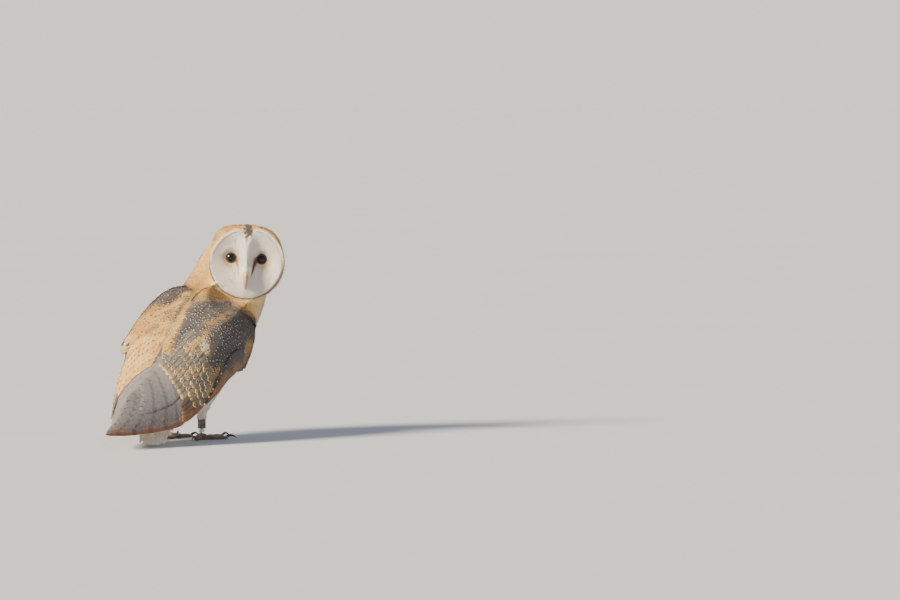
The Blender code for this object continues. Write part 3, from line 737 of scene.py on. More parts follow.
def face_marks(points):
    """White, with a warm stain and some grey round each eye and a brown streak from its inner corner; the
    extra grey and the darker, wider streak on the left half are painted shade.
    """
    across, up, _ = head_terms(points)
    hand = np.where(across > 0.0, 1.0, 0.0)
    across = np.abs(across)
    stain_and_shade = bump_at(np.hypot(across - EYE_ACROSS, up - EYE_UP), 6.0, 3.4)
    above = rise(up - EYE_UP, 0.0, 6.0)
    line = np.interp(up, STREAK_UP, STREAK_ACROSS)
    line = line + (1.0 - hand) * np.interp(up, STREAK_ENDS, (3.4, 0.0))
    beyond = np.maximum(up - STREAK_ENDS[1], 0.0) + np.maximum(STREAK_ENDS[0] - up, 0.0)
    off_line = np.hypot(np.abs(across - line), beyond)
    # on the left half, which lies in shade, the streak is painted wider and darker: painted shade beside the
    # ridge
    wide = np.interp(up, STREAK_ENDS, (0.9, 2.1)) * (0.62 + 0.50 * hand)
    streak = np.exp(-(off_line / wide) ** 2) * (1.0 - 0.35 * rise(-up, 2.0, 16.0)) * rise(up, -14.5, -10.5)
    gold = 0.05 + 0.35 * stain_and_shade * (1.0 - above)
    # more grey over the left eye than over the right one: painted shade
    grey = 0.40 * stain_and_shade * above * (0.4 + 0.6 * hand)
    rust = (0.45 - 0.25 * hand) * stain_and_shade + (0.70 + 0.15 * hand) * streak
    return layered(gold, grey, rust), layered(0.0, 0.0, (0.06 + 0.72 * hand) * streak)


def head_marks(points):
    """Golden crown, with a grey wedge at the notch and a brown streak over the left brow; the left half is
    painted less golden and greyer, a painted shade.
    """
    across, up, out = head_terms(points)
    top = rise(up, 20.0, 30.0)
    front = top * rise(out, -20.0, -7.0)
    wide = np.interp(up, (29.5, 39.0), (1.8, 7.6)) - 0.26 * np.maximum(-12.0 - out, 0.0)
    wedge = rise(up, 29.0, 31.5) * rise(out, -46.0, -20.0) * rise(wide - np.abs(across + 0.4), -2.0, 1.6)
    streak = front * bump_at(across, 16.0, 7.5)
    apex = rise(-up, -30.5, -27.5) * rise(up, 18.0, 24.0) * rise(out, -16.0, -6.0) * bump_at(across, 0.0, 9.0)
    # the crown's left half, in shade, loses gold and gains grey: painted shade
    gold = 0.90 - 0.60 * apex - 0.52 * rise(-up, 6.0, 38.0) - 0.15 * top * rise(across, 3.0, 12.0)
    grey = wedge + 0.26 * streak + 0.20 * top * rise(across, 8.0, 20.0) + 0.12 * rise(-out, 20.0, 40.0)
    rust = (0.08 + 0.10 * wedge + 0.66 * streak) * (1.0 - apex)
    return layered(gold, grey, rust), layered(0.1 * (1.0 - wedge), 0.0, 0.0)


print("grey at the notch:", np.round(head_marks(on_head(0.0, 36.0, -12.0)[None])[0][0, 1], 2))

# %% [markdown]
# ### Rules of the neck and the back
# The nape is golden and the neck pales toward the throat. The back takes the wing's patches,
# but only to the line down its middle, where the far wing's plainer gold begins; that gold is
# partly the far back's own colour and partly painted light of the key.

# %% Rules of the neck and the back
SHOULDER_TOP = (0.86, 0.20, 0.12)
FAR_POINT = (0.36, 0.42, 0.04)


def behind_shoulder(right, forward):
    """0 in front of a slanting line over the shoulders, 1 behind it."""
    return rise(-(forward - 55.0) * 0.9 - (right - 22.0) * 0.42, -26.0, 22.0)


def neck_marks(points):
    """Golden behind, buff toward the throat, deeper under the head, dotted low on the nape."""
    right, forward, _ = bird_terms(points)
    behind = behind_shoulder(right, forward)
    gold = 0.26 + 0.62 * behind
    _, face_high, out = head_terms(points)
    from_head = np.linalg.norm(points - HEAD_MIDDLE, axis=1) / MM
    chin = rise(-face_high, 4.0, 30.0)
    by_head = rise(-from_head, -74.0, -38.0) * rise(-out, 4.0, 30.0)
    gold = gold + (0.70 - gold) * (0.8 - 0.4 * chin) * by_head
    low = rise(from_head, 40.0, 75.0) * behind
    grey = 0.08 * behind + 0.30 * low
    return layered(gold, grey, 0.0), layered(0.25 * behind + 0.4 * low, 0.0, 0.0)


def back_marks(points):
    """The wing's patches, plainer gold past the middle line (partly painted light of the key), and a warm
    shoulder.
    """
    right, forward, up = bird_terms(points)
    plume = wing_plume(right, forward, up)
    middle_line = rise(9.0 - right - 0.10 * forward, 0.0, 7.0)[:, None]
    # past the middle line the grey patches give way to gold: partly the far back's own colour, partly painted
    # light
    far_grey = 0.15 + 0.65 * rise(forward, -40.0, 0.0) * rise(-right, 2.0, 12.0)
    far_plume = layered(0.88 - 0.15 * far_grey, far_grey, 0.0)
    plume = plume * (1.0 - middle_line) + far_plume * middle_line
    along = FLANK_FORWARD * forward + FLANK_RIGHT * right
    far_point = (rise(-forward, 50.0, 66.0) * rise(-right, 38.0, 48.0))[:, None]
    plume = plume * (1.0 - far_point) + np.array(FAR_POINT) * far_point
    shoulder_top = rise(up - (163.0 - 0.4 * along), -5.0, 5.0)[:, None] * (1.0 - middle_line)
    plume = plume * (1.0 - shoulder_top) + np.array(SHOULDER_TOP) * shoulder_top
    return plume, layered(0.18 + 0.34 * plume[:, 1], 0.0, 0.0) * (1.0 - far_point)


print("gold on the nape:", np.round(neck_marks(place(0.0, 20.0, 175.0)[None])[0][0, 0], 2))

# %% [markdown]
# ### Rules of the wing, the belly and the legs
# The far wing repeats the near one's patches with less grey, more gold and fewer dots: painted
# light of the key, which falls on the far side. The belly is white with a buff side, and the legs
# are almost white. A table then says which rule each region follows.

# %% Rules of the wing, the belly and the legs
NEAR_STRIP = (0.60, 0.62, 0.30)
# on the far wing the strip turns more golden and less grey and rusty: painted light
FAR_STRIP = (0.28, -0.40, -0.26)


def wing_marks(points):
    """Patches on buff, with a brown strip along the inner edge of the folded wing; the far wing's lighter,
    more golden look is painted light.
    """
    right, forward, up = bird_terms(points)
    plume = wing_plume(right, forward, up)
    # the far wing's lesser grey, added gold and fewer dots are painted light of the key
    far = rise(-right, 0.0, 10.0)
    plume[:, 1] *= 1.0 - 0.62 * far
    plume[:, 0] = plume[:, 0] * (1.0 - far) + 0.78 * far
    inner = rise(-np.abs(right), -16.0, -7.0)[:, None] * rise(-forward, 20.0, 45.0)[:, None]
    strip = np.array(NEAR_STRIP) + far[:, None] * FAR_STRIP
    plume = plume * (1.0 - inner) + strip * inner
    return plume, layered(0.14 + 0.44 * plume[:, 1] * (1.0 - 0.3 * far), 0.0, 0.0)


def belly_marks(points):
    """White, with a buff wash on the throat and the sides."""
    right, forward, up = bird_terms(points)
    side = behind_shoulder(right, forward) * rise(up, 84.0, 128.0)
    gold = 0.05 + 0.26 * rise(up, 104.0, 152.0) + 0.42 * side
    return layered(gold, 0.0, 0.0), layered(0.12 + 0.20 * side, 0.0, 0.0)


def white_marks(gold):
    """A rule for plumage that is nearly white all over, without dots."""
    def marks(points):
        return layered(gold, 0.0, 0.0), np.zeros(3)
    return marks


MARKS = {"face": face_marks, "head": head_marks, "neck": neck_marks, "back": back_marks,
         "wing": wing_marks, "belly": belly_marks, "thigh": white_marks(0.04),
         "shank": white_marks(0.08)}


def markings(points, shares):
    """Plume and marks of points, from their shares in the regions."""
    plume = np.zeros((len(points), 3))
    marks = np.zeros((len(points), 3))
    for index, name in enumerate(REGIONS):
        own_plume, own_marks = MARKS[name](points)
        plume += own_plume * shares[:, index, None]
        marks += own_marks * shares[:, index, None]
    return plume.clip(0.0, 1.0), marks.clip(0.0, 1.0)


skin_plume, skin_marks = markings(skin.points, weights)
print("mean gold, grey, rust:", np.round(skin_plume.mean(0), 2))

# %% [markdown]
# ## From arrays to pieces
# Thousands of vanes would be slow to make as objects, so each tract of plumage is one mesh,
# filled from arrays in a single call. The helper also stores the numbers that the feather
# material reads, and the map that spreads the vanes' patches for a later bake.

# %% Piece helper
def mesh_piece(name, points, triangles, material, replaces=(), numbers=None, lean=None,
               patches=None):
    """A smooth mesh that rides on the bird, with its vector attributes, normals and bake map."""
    mesh = bpy.data.meshes.new(name)
    mesh.vertices.add(len(points))
    mesh.vertices.foreach_set("co", np.asarray(points, np.float32).ravel())
    mesh.loops.add(3 * len(triangles))
    mesh.loops.foreach_set("vertex_index", np.asarray(triangles, np.int32).ravel())
    mesh.polygons.add(len(triangles))
    mesh.polygons.foreach_set("loop_start", np.arange(0, 3 * len(triangles), 3, dtype=np.int32))
    mesh.update(calc_edges=True)
    mesh.shade_smooth()
    for label, values in (numbers or {}).items():
        layer = mesh.attributes.new(label, "FLOAT_VECTOR", "POINT")
        layer.data.foreach_set("vector", np.asarray(values, np.float32).ravel())
    if patches is not None:
        layer = mesh.uv_layers.new(name="OFBake")
        layer.data.foreach_set("uv", np.asarray(patches[triangles.ravel()], np.float32).ravel())
    if lean is not None:
        mesh.normals_split_custom_set_from_vertices(np.asarray(lean, np.float32))
    mesh.materials.append(material)
    piece = bpy.data.objects.new(name, mesh)
    bpy.context.scene.collection.objects.link(piece)
    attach(piece, "root")
    if replaces:
        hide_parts(*replaces)
    print("%-24s %7d triangles" % (name, len(triangles)))


# the skin reads as a place 3 mm off a shaft and 30 mm from a tip, where no dot can be
OFF_FEATHER = (3.0, 30.0, 0.5)
bare = np.tile(OFF_FEATHER, (len(skin.points), 1))
skin_numbers = {"vane": bare, "plume": skin_plume, "marks": skin_marks * (0.0, 0.0, 1.0)}
mesh_piece("skin", skin.points, skin.triangles, feather_finish, FLESH, skin_numbers)

# %% [markdown]
# ## Where feathers root
# Real follicles keep their distance from each other, closer on the face and wider on the back.
# Darts thrown at random and kept only where no neighbour is too near give that spacing on any
# shape. The sizes belong to the regions and blend as the regions do.

# %% Follicles
SPACING = {"face": 1.05, "head": 1.6, "neck": 1.9, "back": 2.6, "wing": 2.5,
           "belly": 2.1, "thigh": 1.9, "shank": 1.2}
LENGTH = {"face": 4.2, "head": 7.0, "neck": 9.5, "back": 12.0, "wing": 11.0,
          "belly": 13.0, "thigh": 17.0, "shank": 5.0}
WIDTH = {"face": 1.0, "head": 2.8, "neck": 3.8, "back": 6.0, "wing": 5.8,
         "belly": 4.6, "thigh": 3.4, "shank": 1.7}
DARTS = 7


def point_tree(points):
    """A tree that finds the points near a place."""
    tree = KDTree(len(points))
    for index, point in enumerate(points):
        tree.insert(point, index)
    tree.balance()
    return tree


def throw_darts():
    """Indices of triangles and corner shares, at the spacing of each region."""
    spacing = by_region(SPACING)
    a, b, c = (skin.points[skin.triangles[:, k]] for k in range(3))
    area = np.linalg.norm(np.cross(b - a, c - a), axis=1) / 2 / MM ** 2
    expected = area / spacing[skin.triangles].mean(1) ** 2 * DARTS
    thrown = chance.choice(len(area), int(expected.sum()), p=expected / expected.sum())
    first, second = chance.random((2, len(thrown)))
    fold = first + second > 1.0
    first[fold], second[fold] = 1.0 - first[fold], 1.0 - second[fold]
    shares = np.stack((1.0 - first - second, first, second), axis=1)
    spots = (skin.points[skin.triangles[thrown]] * shares[:, :, None]).sum(1)
    reach = (spacing[skin.triangles[thrown]] * shares).sum(1) * MM
    tree = point_tree(spots)
    alive = np.ones(len(spots), bool)
    kept = []
    for index, spot in enumerate(spots):
        if alive[index]:
            kept.append(index)
            for _, other, _ in tree.find_range(spot, reach[index]):
                alive[other] = False
    kept = np.array(kept)
    return thrown[kept], shares[kept]


root_triangle, root_shares = throw_darts()
root_corners = skin.triangles[root_triangle]
print("follicles:", len(root_triangle))

# %% [markdown]
# ### What each root knows
# A root carries all that its feather needs: place, lie, shares in the regions, size and
# markings. A few are then left out or changed: none stands on the open eye or under the ring,
# and the legs get longer, looser feathers.

# %% What each root knows
EYE_CLEAR = 6.0
RIM_CLEAR = 1.04
LEG_FLUFF = (1.8, 0.6, 2.6)
NO_LIMIT = 99.0
SHORTEST = 1.2


def at_roots(values):
    """Numbers of the skin's points, read at the roots."""
    return (values[root_corners] * root_shares[:, :, None]).sum(1)


roots = {
    "spot": at_roots(skin.points),
    "normal": unit(at_roots(skin_normals)),
    "flow": unit(at_roots(flow)),
    "weights": at_roots(weights),
    "size": at_roots(np.stack([by_region(t) for t in (LENGTH, WIDTH, COAT_DEPTH)], axis=1)),
}
roots["plume"], roots["marks"] = markings(roots["spot"], roots["weights"])


def keep_roots(kept):
    """Drop every root that isn't kept."""
    for key in roots:
        roots[key] = roots[key][kept]


def share_in(*names):
    """How much of each root belongs to the named regions."""
    return roots["weights"][:, [NUMBER[name] for name in names]].sum(1)


def clear_head():
    """No roots on the eyeballs, nor of the head's long feathers in front of the disc's rim."""
    across, up, out = head_terms(roots["spot"])
    clear = (np.hypot(np.abs(across) - EYE_ACROSS, up - EYE_UP) > EYE_CLEAR) | (out < -16.0)
    in_front = (disc_share(roots["spot"]) < RIM_CLEAR) & (out > -2.0)
    keep_roots(clear & ~(in_front & (share_in("head") > 0.35)))


def loosen_legs():
    """Longer, looser feathers high on the legs, kept short over the ring and off it."""
    right, forward, height = bird_terms(roots["spot"])
    on_leg = share_in("shank") * rise(height, 22.0, 36.0)
    roots["size"] *= 1.0 + on_leg[:, None] * np.array(LEG_FLUFF)
    on_thigh = share_in("thigh") * rise(-height, -62.0, -46.0)
    on_point = share_in("back") * rise(-forward, 58.0, 68.0) * rise(np.abs(right), 22.0, 30.0)
    roots["cling"] = 1.0 - 0.8 * on_leg - 0.85 * on_thigh - on_point
    ring_low, ring_high = (corner[2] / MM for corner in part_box("leg_ring"))
    by_ring = (share_in("shank", "thigh") > 0.3) & (right > 5.0)
    room = np.maximum(height - ring_high, SHORTEST)
    limit = np.where(by_ring & (height > ring_high), room, NO_LIMIT)
    roots["size"][:, 0] = np.minimum(roots["size"][:, 0], limit)
    kept = ~(by_ring & (height > ring_low - 1.0) & (height < ring_high + 0.8))
    keep_roots(kept & ~((on_point > 0.3) & (roots["normal"][:, 2] < 0.1)))


clear_head()
loosen_legs()
print("feathers rooted in the skin:", len(roots["spot"]))

# %% [markdown]
# ## The vane
# A contour feather is a thin leaf: narrow at the quill, broad near its round tip, a little
# arched across. One leaf is drawn as a small grid with an upper and a lower sheet, and every
# feather of a tract is that leaf, stretched, turned, laid on the skin and lifted toward its tip.

# %% Leaf template
def leaf(rows, roundness=0.5):
    """Points as (across, along) in -1..1 and 0..1, top sheet then under sheet, with triangles."""
    along = 1.0 - (1.0 - np.linspace(0.0, 1.0, rows)) ** 1.25
    width = np.sin(math.pi * np.clip(along, 0.0, 1.0) ** 0.62 * 0.93 + 0.08) ** roundness
    width[-1] *= 0.62
    width[0] = 0.22
    top = []
    for i in range(rows):
        drop = 0.035 if i == rows - 1 else 0.0
        top += [(side * width[i], along[i] - drop * abs(side)) for side in (-1, 0, 1)]
    top = np.array(top + [(0.0, 1.03)])
    triangles = []
    for i in range(rows - 1):
        for k in (0, 1):
            a, b, c, d = 3 * i + k, 3 * i + k + 1, 3 * i + k + 4, 3 * i + k + 3
            triangles += [(a, b, c), (a, c, d)]
    end = 3 * (rows - 1)
    triangles += [(end, end + 1, 3 * rows), (end + 1, end + 2, 3 * rows)]
    rim = [3 * i for i in range(rows)] + [3 * rows] + [3 * i + 2 for i in range(rows - 1, -1, -1)]
    under = top[rim]
    base = len(top)
    count = len(rim)
    below = []
    for i in range(rows):
        left, right = i, count - 1 - i
        next_left, next_right = i + 1, count - 2 - i
        if next_left < next_right:
            below += [(left, next_right, right), (left, next_left, next_right)]
        elif next_left == next_right:
            below.append((left, next_left, right))
    return np.vstack((top, under)), np.vstack((triangles, np.array(below) + base)), base


print("leaf of", len(leaf(6)[0]), "points")

# %% [markdown]
# ### Stroking the skin
# A feather laid flat would cut through a rounded shoulder. Each point of a vane is therefore
# moved to the nearest place on the skin, and stands off along the skin's smooth normal there.

# %% Nearest places on the skin
skin_tree = BVHTree.FromPolygons(skin.points.tolist(), skin.triangles.tolist())


def on_skin(points):
    """Nearest skin points and their smooth normals."""
    found = [skin_tree.find_nearest(point) for point in points]
    spots = np.array([hit[0] for hit in found])
    corners = skin.triangles[[hit[2] for hit in found]]
    a, b, c = (skin.points[corners[:, k]] for k in range(3))
    whole = np.linalg.norm(np.cross(b - a, c - a), axis=1) + 1e-18
    shares = np.stack((np.linalg.norm(np.cross(b - spots, c - spots), axis=1),
                       np.linalg.norm(np.cross(c - spots, a - spots), axis=1),
                       np.linalg.norm(np.cross(a - spots, b - spots), axis=1)), axis=1) / whole[:, None]
    return spots, unit((skin_normals[corners] * shares[:, :, None]).sum(1))


print("skin tree of", len(skin.triangles), "triangles")

# %% [markdown]
# ### A tract of feathers
# All feathers of a tract are worked out at once, as arrays with a row for each feather and a
# column for each point of the leaf. Where a vane would bend sharply over an edge it is cut
# short and let loose. Its corners on the bake map sit where its root is, spread a little.

# %% Lay a tract of vanes
# a vane's spread on the bake map, then millimetres: its thickness and its least height
PATCH = 0.003
VANE_THICKNESS = 0.10
LOWEST = 0.02
CUT_SHORT = 0.35


def unwrap_roots(spots):
    """The tract's skin rolled out round its own long axis, as places from 0 to 1."""
    offset = spots - spots.mean(0)
    _, _, axes = np.linalg.svd(offset, full_matrices=False)
    local = offset @ axes.T
    rolled = np.stack((np.arctan2(local[:, 2], local[:, 1]), local[:, 0]), axis=1)
    low, high = rolled.min(0), rolled.max(0)
    return 0.01 + 0.98 * (rolled - low) / (high - low)


def vanes(name, own, finish, slot="white", rows=6, roundness=0.5, lift=0.8, base=0.25, wobble=0.10,
          arch=0.10, on_body=True, tip_dark=None, dot=0.9):
    """One mesh of feathers: each is the leaf, stretched, turned and laid along its own arrow."""
    template, triangles, first_under = leaf(rows, roundness)
    spot, normal, lie = own["spot"], own["normal"], own["flow"]
    count, points = len(spot), len(template)
    length, width, deep = own["size"].T
    luck = chance.random(count)
    length = length * (0.88 + 0.24 * chance.random(count))
    side = np.cross(lie, normal)
    turn = (chance.random(count) - 0.5)[:, None] * 2 * wobble
    lie, side = unit(lie + side * turn), unit(side - lie * turn)
    across, along = template[:, 0], template[:, 1]
    x = across[None, :] * width[:, None] / 2
    y = along[None, :] * length[:, None]
    reach = (lie[:, None, :] * y[..., None] + side[:, None, :] * x[..., None]) * MM
    root = spot[:, None, :]
    laid, laid_normal = root + reach, np.broadcast_to(normal[:, None, :], reach.shape)
    if on_body:
        laid, laid_normal = (found.reshape(reach.shape) for found in on_skin(laid.reshape(-1, 3)))
        turned = (laid_normal * normal[:, None, :]).sum(-1).min(1) < 0.1
        flat = root + reach * np.where(turned, CUT_SHORT, 1.0)[:, None, None]
        loose = np.maximum(1.0 - own["cling"], turned)[:, None, None]
        laid = laid + (flat - laid) * loose
        laid_normal = unit(laid_normal + (normal[:, None, :] - laid_normal) * loose)
    height = deep[:, None] * (base + (lift - base + 0.12 * (luck - 0.5)[:, None]) * along[None, :])
    height = height - arch * np.abs(across)[None, :] ** 2 * width[:, None] / 2
    under = np.arange(points) >= first_under
    height = np.maximum(height - VANE_THICKNESS * under[None, :], LOWEST)
    vertices = laid + laid_normal * height[..., None] * MM
    slope = (deep * (lift - base) / length)[:, None, None]
    lean = laid_normal - lie[:, None, :] * slope * 0.5 + side[:, None, :] * (across[None, :, None] * arch)
    lean = unit(lean) * np.where(under, -1.0, 1.0)[None, :, None]
    marks = np.repeat(own["marks"][:, None], points, 1)
    marks[..., 0] = (marks[..., 0] > chance.random(count)[:, None]) * dot
    if tip_dark is not None:
        marks[..., 2] = np.maximum(marks[..., 2], tip_dark[:, None] * rise(along, 0.2, 0.55)[None, :])
    from_tip = (1.0 - along)[None, :] * length[:, None]
    numbers = {
        "vane": layered(x, from_tip, luck[:, None]).reshape(-1, 3),
        "plume": np.repeat(own["plume"], points, 0),
        "marks": marks.reshape(-1, 3),
    }
    faces = (np.arange(count)[:, None, None] * points + triangles[None]).reshape(-1, 3)
    spread = np.stack((across * 0.5, along - 0.5), -1)[None] * PATCH
    patch = (unwrap_roots(spot)[:, None, :] + spread).reshape(-1, 2)
    mesh_piece(name, vertices.reshape(-1, 3), faces, finish, (), numbers, lean.reshape(-1, 3), patch)


def lay_tract(name, chosen, slot="white", **style):
    """The feathers of the chosen roots, as one piece."""
    own = {key: values[chosen] for key, values in roots.items()}
    vanes(name, own, feather_finish, slot, **style)


print("vane thickness:", VANE_THICKNESS, "mm")

# %% [markdown]
# ## The folded wing as a surface
# The long feathers of a folded wing lie on one curved sheet, from the wing's top edge to its
# lower edge and from the bend to the tips. A few sections, joined by a smooth curve, describe
# it; a place on it is a row number and a share of the way down, as on a map of the wing.

# %% Wing sections
# a row for each section: its top edge and its lower edge (right, forward, up), and its bulge
WING = np.array((
    (36.0, 57.0, 149.0, 55.0, 20.0, 82.0, 15.0),
    (25.0, 42.0, 160.0, 59.0, 4.0, 75.0, 22.0),
    (8.0, 10.0, 168.0, 62.0, -20.0, 77.0, 27.0),
    (3.0, -22.0, 155.0, 62.0, -48.0, 69.0, 24.0),
    (3.0, -55.0, 130.0, 60.0, -76.0, 54.0, 18.0),
    (2.0, -87.0, 101.0, 54.0, -102.0, 37.0, 13.0),
    (1.0, -112.0, 82.0, 45.0, -124.0, 22.0, 10.0),
    (-1.0, -136.0, 70.0, 35.0, -146.0, 17.5, 8.0),
    (-4.0, -160.0, 58.0, 22.0, -172.0, 14.5, 6.0),
    (-7.0, -192.0, 34.0, 9.0, -202.0, 13.0, 4.0),
    (-8.0, -219.0, 21.0, -3.0, -223.0, 12.0, 1.5),
))
WING_END = len(WING) - 1.0
FOLD_OVER = np.array((0.94, 0.0, 0.22))
UNDER_NEAR_WING = 3.2
UP = np.array((0.0, 0.0, 1.0))


def row_at(rows, t):
    """Rows of a table at parameters t, on a smooth curve through its rows."""
    t = np.clip(t, 0.0, len(rows) - 1.0)
    i = np.minimum(t.astype(int), len(rows) - 2)
    u = (t - i)[..., None]
    before, here = rows[np.maximum(i - 1, 0)], rows[i]
    after, beyond = rows[i + 1], rows[np.minimum(i + 2, len(rows) - 1)]
    square = (2 * before - 5 * here + 4 * after - beyond) * u ** 2
    cube = (3 * here - before - 3 * after + beyond) * u ** 3
    return 0.5 * (2 * here + (after - before) * u + (square + cube))


def outward(vectors):
    """Unit vectors, turned to the outer side of the right wing."""
    vectors = unit(vectors)
    return vectors * np.where(vectors @ np.array((0.6, 0.0, 0.8)) < 0.0, -1.0, 1.0)[..., None]


print("wing length:", round(float(np.linalg.norm(WING[-1][:3] - WING[0][:3]))), "mm")

# %% [markdown]
# ### A place on the wing
# The sheet bulges out between its edges and folds over along the top. The left wing is the
# right one mirrored, but two solid wings can't share one place over the tail: the left one is
# tucked under the right, as it is on a resting owl.

# %% A place on the wing
def wing_sheet(t, share):
    """Points of the right wing's outer sheet in bird terms, and its height in millimetres."""
    row = row_at(WING, t)
    run = row_at(WING, t + 0.1) - row_at(WING, t - 0.1)
    top, low = row[..., 0:3], row[..., 3:6]
    out = outward(np.cross(low - top, run[..., 0:3] + run[..., 3:6]))
    arch = np.maximum(4.0 * share * (1.0 - share), 0.0)
    height = np.linalg.norm(low - top, axis=-1)
    over = np.minimum(share, 0.0)
    point = top + (low - top) * (share - over)[..., None] + out * (row[..., 6] * arch)[..., None]
    return point + (over * height)[..., None] * FOLD_OVER, height


def tucked(point, t):
    """The left wing's points, kept under the right wing where the two cross."""
    row = row_at(WING, t)
    share = np.minimum((-point[..., 0] - row[..., 0]) / (row[..., 3] - row[..., 0]), 1.0)
    arch = np.maximum(3.2 * share * (1.0 - share), 0.0)
    limit = row[..., 2] + (row[..., 5] - row[..., 2]) * share + row[..., 6] * arch - UNDER_NEAR_WING
    over = np.maximum(point[..., 2] - np.maximum(limit, row[..., 5]), 0.0) * rise(share, -0.2, 0.0)
    return point - over[..., None] * UP


def wing_spot(t, share, side, lift=0.0):
    """World points on the wing, lifted off it, for the right or the left wing."""
    t, share, lift = (np.asarray(v, float) for v in np.broadcast_arrays(t, share, lift))
    step = 0.02
    point, _ = wing_sheet(t, share)
    forth = wing_sheet(t + step, share)[0] - wing_sheet(t - step, share)[0]
    down = wing_sheet(t, share + step)[0] - wing_sheet(t, share - step)[0]
    out = outward(np.cross(down, forth))
    point = point + out * lift[..., None]
    mirror = 1.0 if side == "right" else -1.0
    if side == "left":
        point = tucked(point, t)
    return place(point[..., 0] * mirror, point[..., 1], point[..., 2])


def wing_rows(points, side):
    """The row number on the wing that is nearest to each point."""
    t, share = np.meshgrid(np.linspace(0.0, WING_END, 101), np.linspace(0.0, 1.0, 21), indexing="ij")
    near = point_tree(wing_spot(t, share, side).reshape(-1, 3))
    return t.reshape(-1)[[near.find(point)[1] for point in points]]


print("height of the sheet at row 2:", np.round(wing_sheet(np.array(2.0), np.array(0.5))[1]), "mm")

# %% [markdown]
# ### Small feathers and long ones
# The small feathers stop where the long ones come out from under them. On the wing that is a
# row of the map, so each root there asks which row it is nearest to.

# %% Which roots carry small feathers
COVERT_ROW = 4.55
SIDE_SIGNS = (("right", 1.0), ("left", -1.0))
root_region = roots["weights"].argmax(1)
root_right = bird_terms(roots["spot"])[0]


def region_roots(*names):
    """Which roots lie in the named regions."""
    return np.isin(root_region, [NUMBER[name] for name in names])


long_zone = np.zeros(len(root_region), bool)
for side, sign in SIDE_SIGNS:
    own = region_roots("wing") & (root_right * sign > 0)
    long_zone[own] = wing_rows(roots["spot"][own], side) > COVERT_ROW
print("roots under the long feathers:", int(long_zone.sum()))

# %% [markdown]
# ### The coat, tract by tract
# Each tract has its own style: the face's vanes are fine and round, the breast's and the legs'
# stand off and wander, the others lie close. The dots are largest on the back and the wings.

# %% Lay the coat
lay_tract("coat_face", region_roots("face"), rows=4, roundness=0.7, lift=1.0, base=0.35, wobble=0.08)
lay_tract("coat_head", region_roots("head"), "buff", dot=0.45)
lay_tract("coat_neck", region_roots("neck"), "buff", arch=0.12, dot=0.62)
for side, sign in SIDE_SIGNS:
    own = root_right * sign > 0
    slot = "grey" if side == "right" else "buff"
    lay_tract("coat_back_" + side, region_roots("back") & own, slot, dot=1.08)
    lay_tract("coat_wing_" + side, region_roots("wing") & own & ~long_zone, slot, dot=1.08)
lay_tract("coat_belly", region_roots("belly"), lift=0.9, wobble=0.18, dot=0.6)
lay_tract("coat_legs", region_roots("thigh", "shank"), rows=5, lift=0.9, wobble=0.2)

# %% [markdown]
# ## Long feathers
# Quills of the folded wing slide over each other like the sticks of a fan: the one nearest the
# back lies on top, and each next one shows only a strip along its lower edge. Every vane is
# therefore tipped a little, its lower edge out. Six rows of coverts hide the quills' roots.

# %% Outline and faces of a long vane
LONG_ROWS = 18
LONG_ACROSS = np.linspace(-1.0, 1.0, 7)
LONG_THICKNESS = 0.24


def vane_outline(s, point):
    """Half width along a long feather; a higher point gives a blunter tip."""
    root = 0.25 + 0.75 * rise(s, 0.0, 0.25)
    return root * np.clip(1.0 - s ** point, 0.0, 1.0) ** 0.5


def strip_faces(rows, columns):
    """Triangles of an upper and an under sheet that share one outline, with end walls."""
    faces = []
    sheet = rows * columns
    for i in range(rows - 1):
        for k in range(columns - 1):
            a, b = i * columns + k, i * columns + k + 1
            c, d = b + columns, a + columns
            faces += [(a, b, c), (a, c, d)]
            faces += [(a + sheet, c + sheet, b + sheet), (a + sheet, d + sheet, c + sheet)]
    rim = list(range(columns)) + [i * columns + columns - 1 for i in range(1, rows)]
    rim += [(rows - 1) * columns + k for k in range(columns - 2, -1, -1)]
    rim += [i * columns for i in range(rows - 2, 0, -1)]
    for a, b in zip(rim, rim[1:] + rim[:1]):
        faces += [(a, a + sheet, b + sheet), (a, b + sheet, b)]
    return np.array(faces)


print("triangles of a long vane:", len(strip_faces(LONG_ROWS, len(LONG_ACROSS))))

# %% [markdown]
# ### Gathering long feathers
# Long feathers are counted in dozens, so they are made one by one and gathered into a piece at
# the end. Each gets two cells of its own on the bake map. The flights' finish is the coat's own
# with coarser, paler marbling, and the coverts' lies between the two.

# %% Gather long feathers
UNDERSIDE = (0.10, 0.0, 0.0)
UNDER_BARS = (0.0, 0.35, 0.0)
flight_finish = plumage("flight feather", 2.8, (0.165, 0.182, 0.225), (0.068, 0.074, 0.094), 0.16)
covert_finish = plumage("covert", 1.3, (0.120, 0.122, 0.132), (0.030, 0.031, 0.036), 0.04)


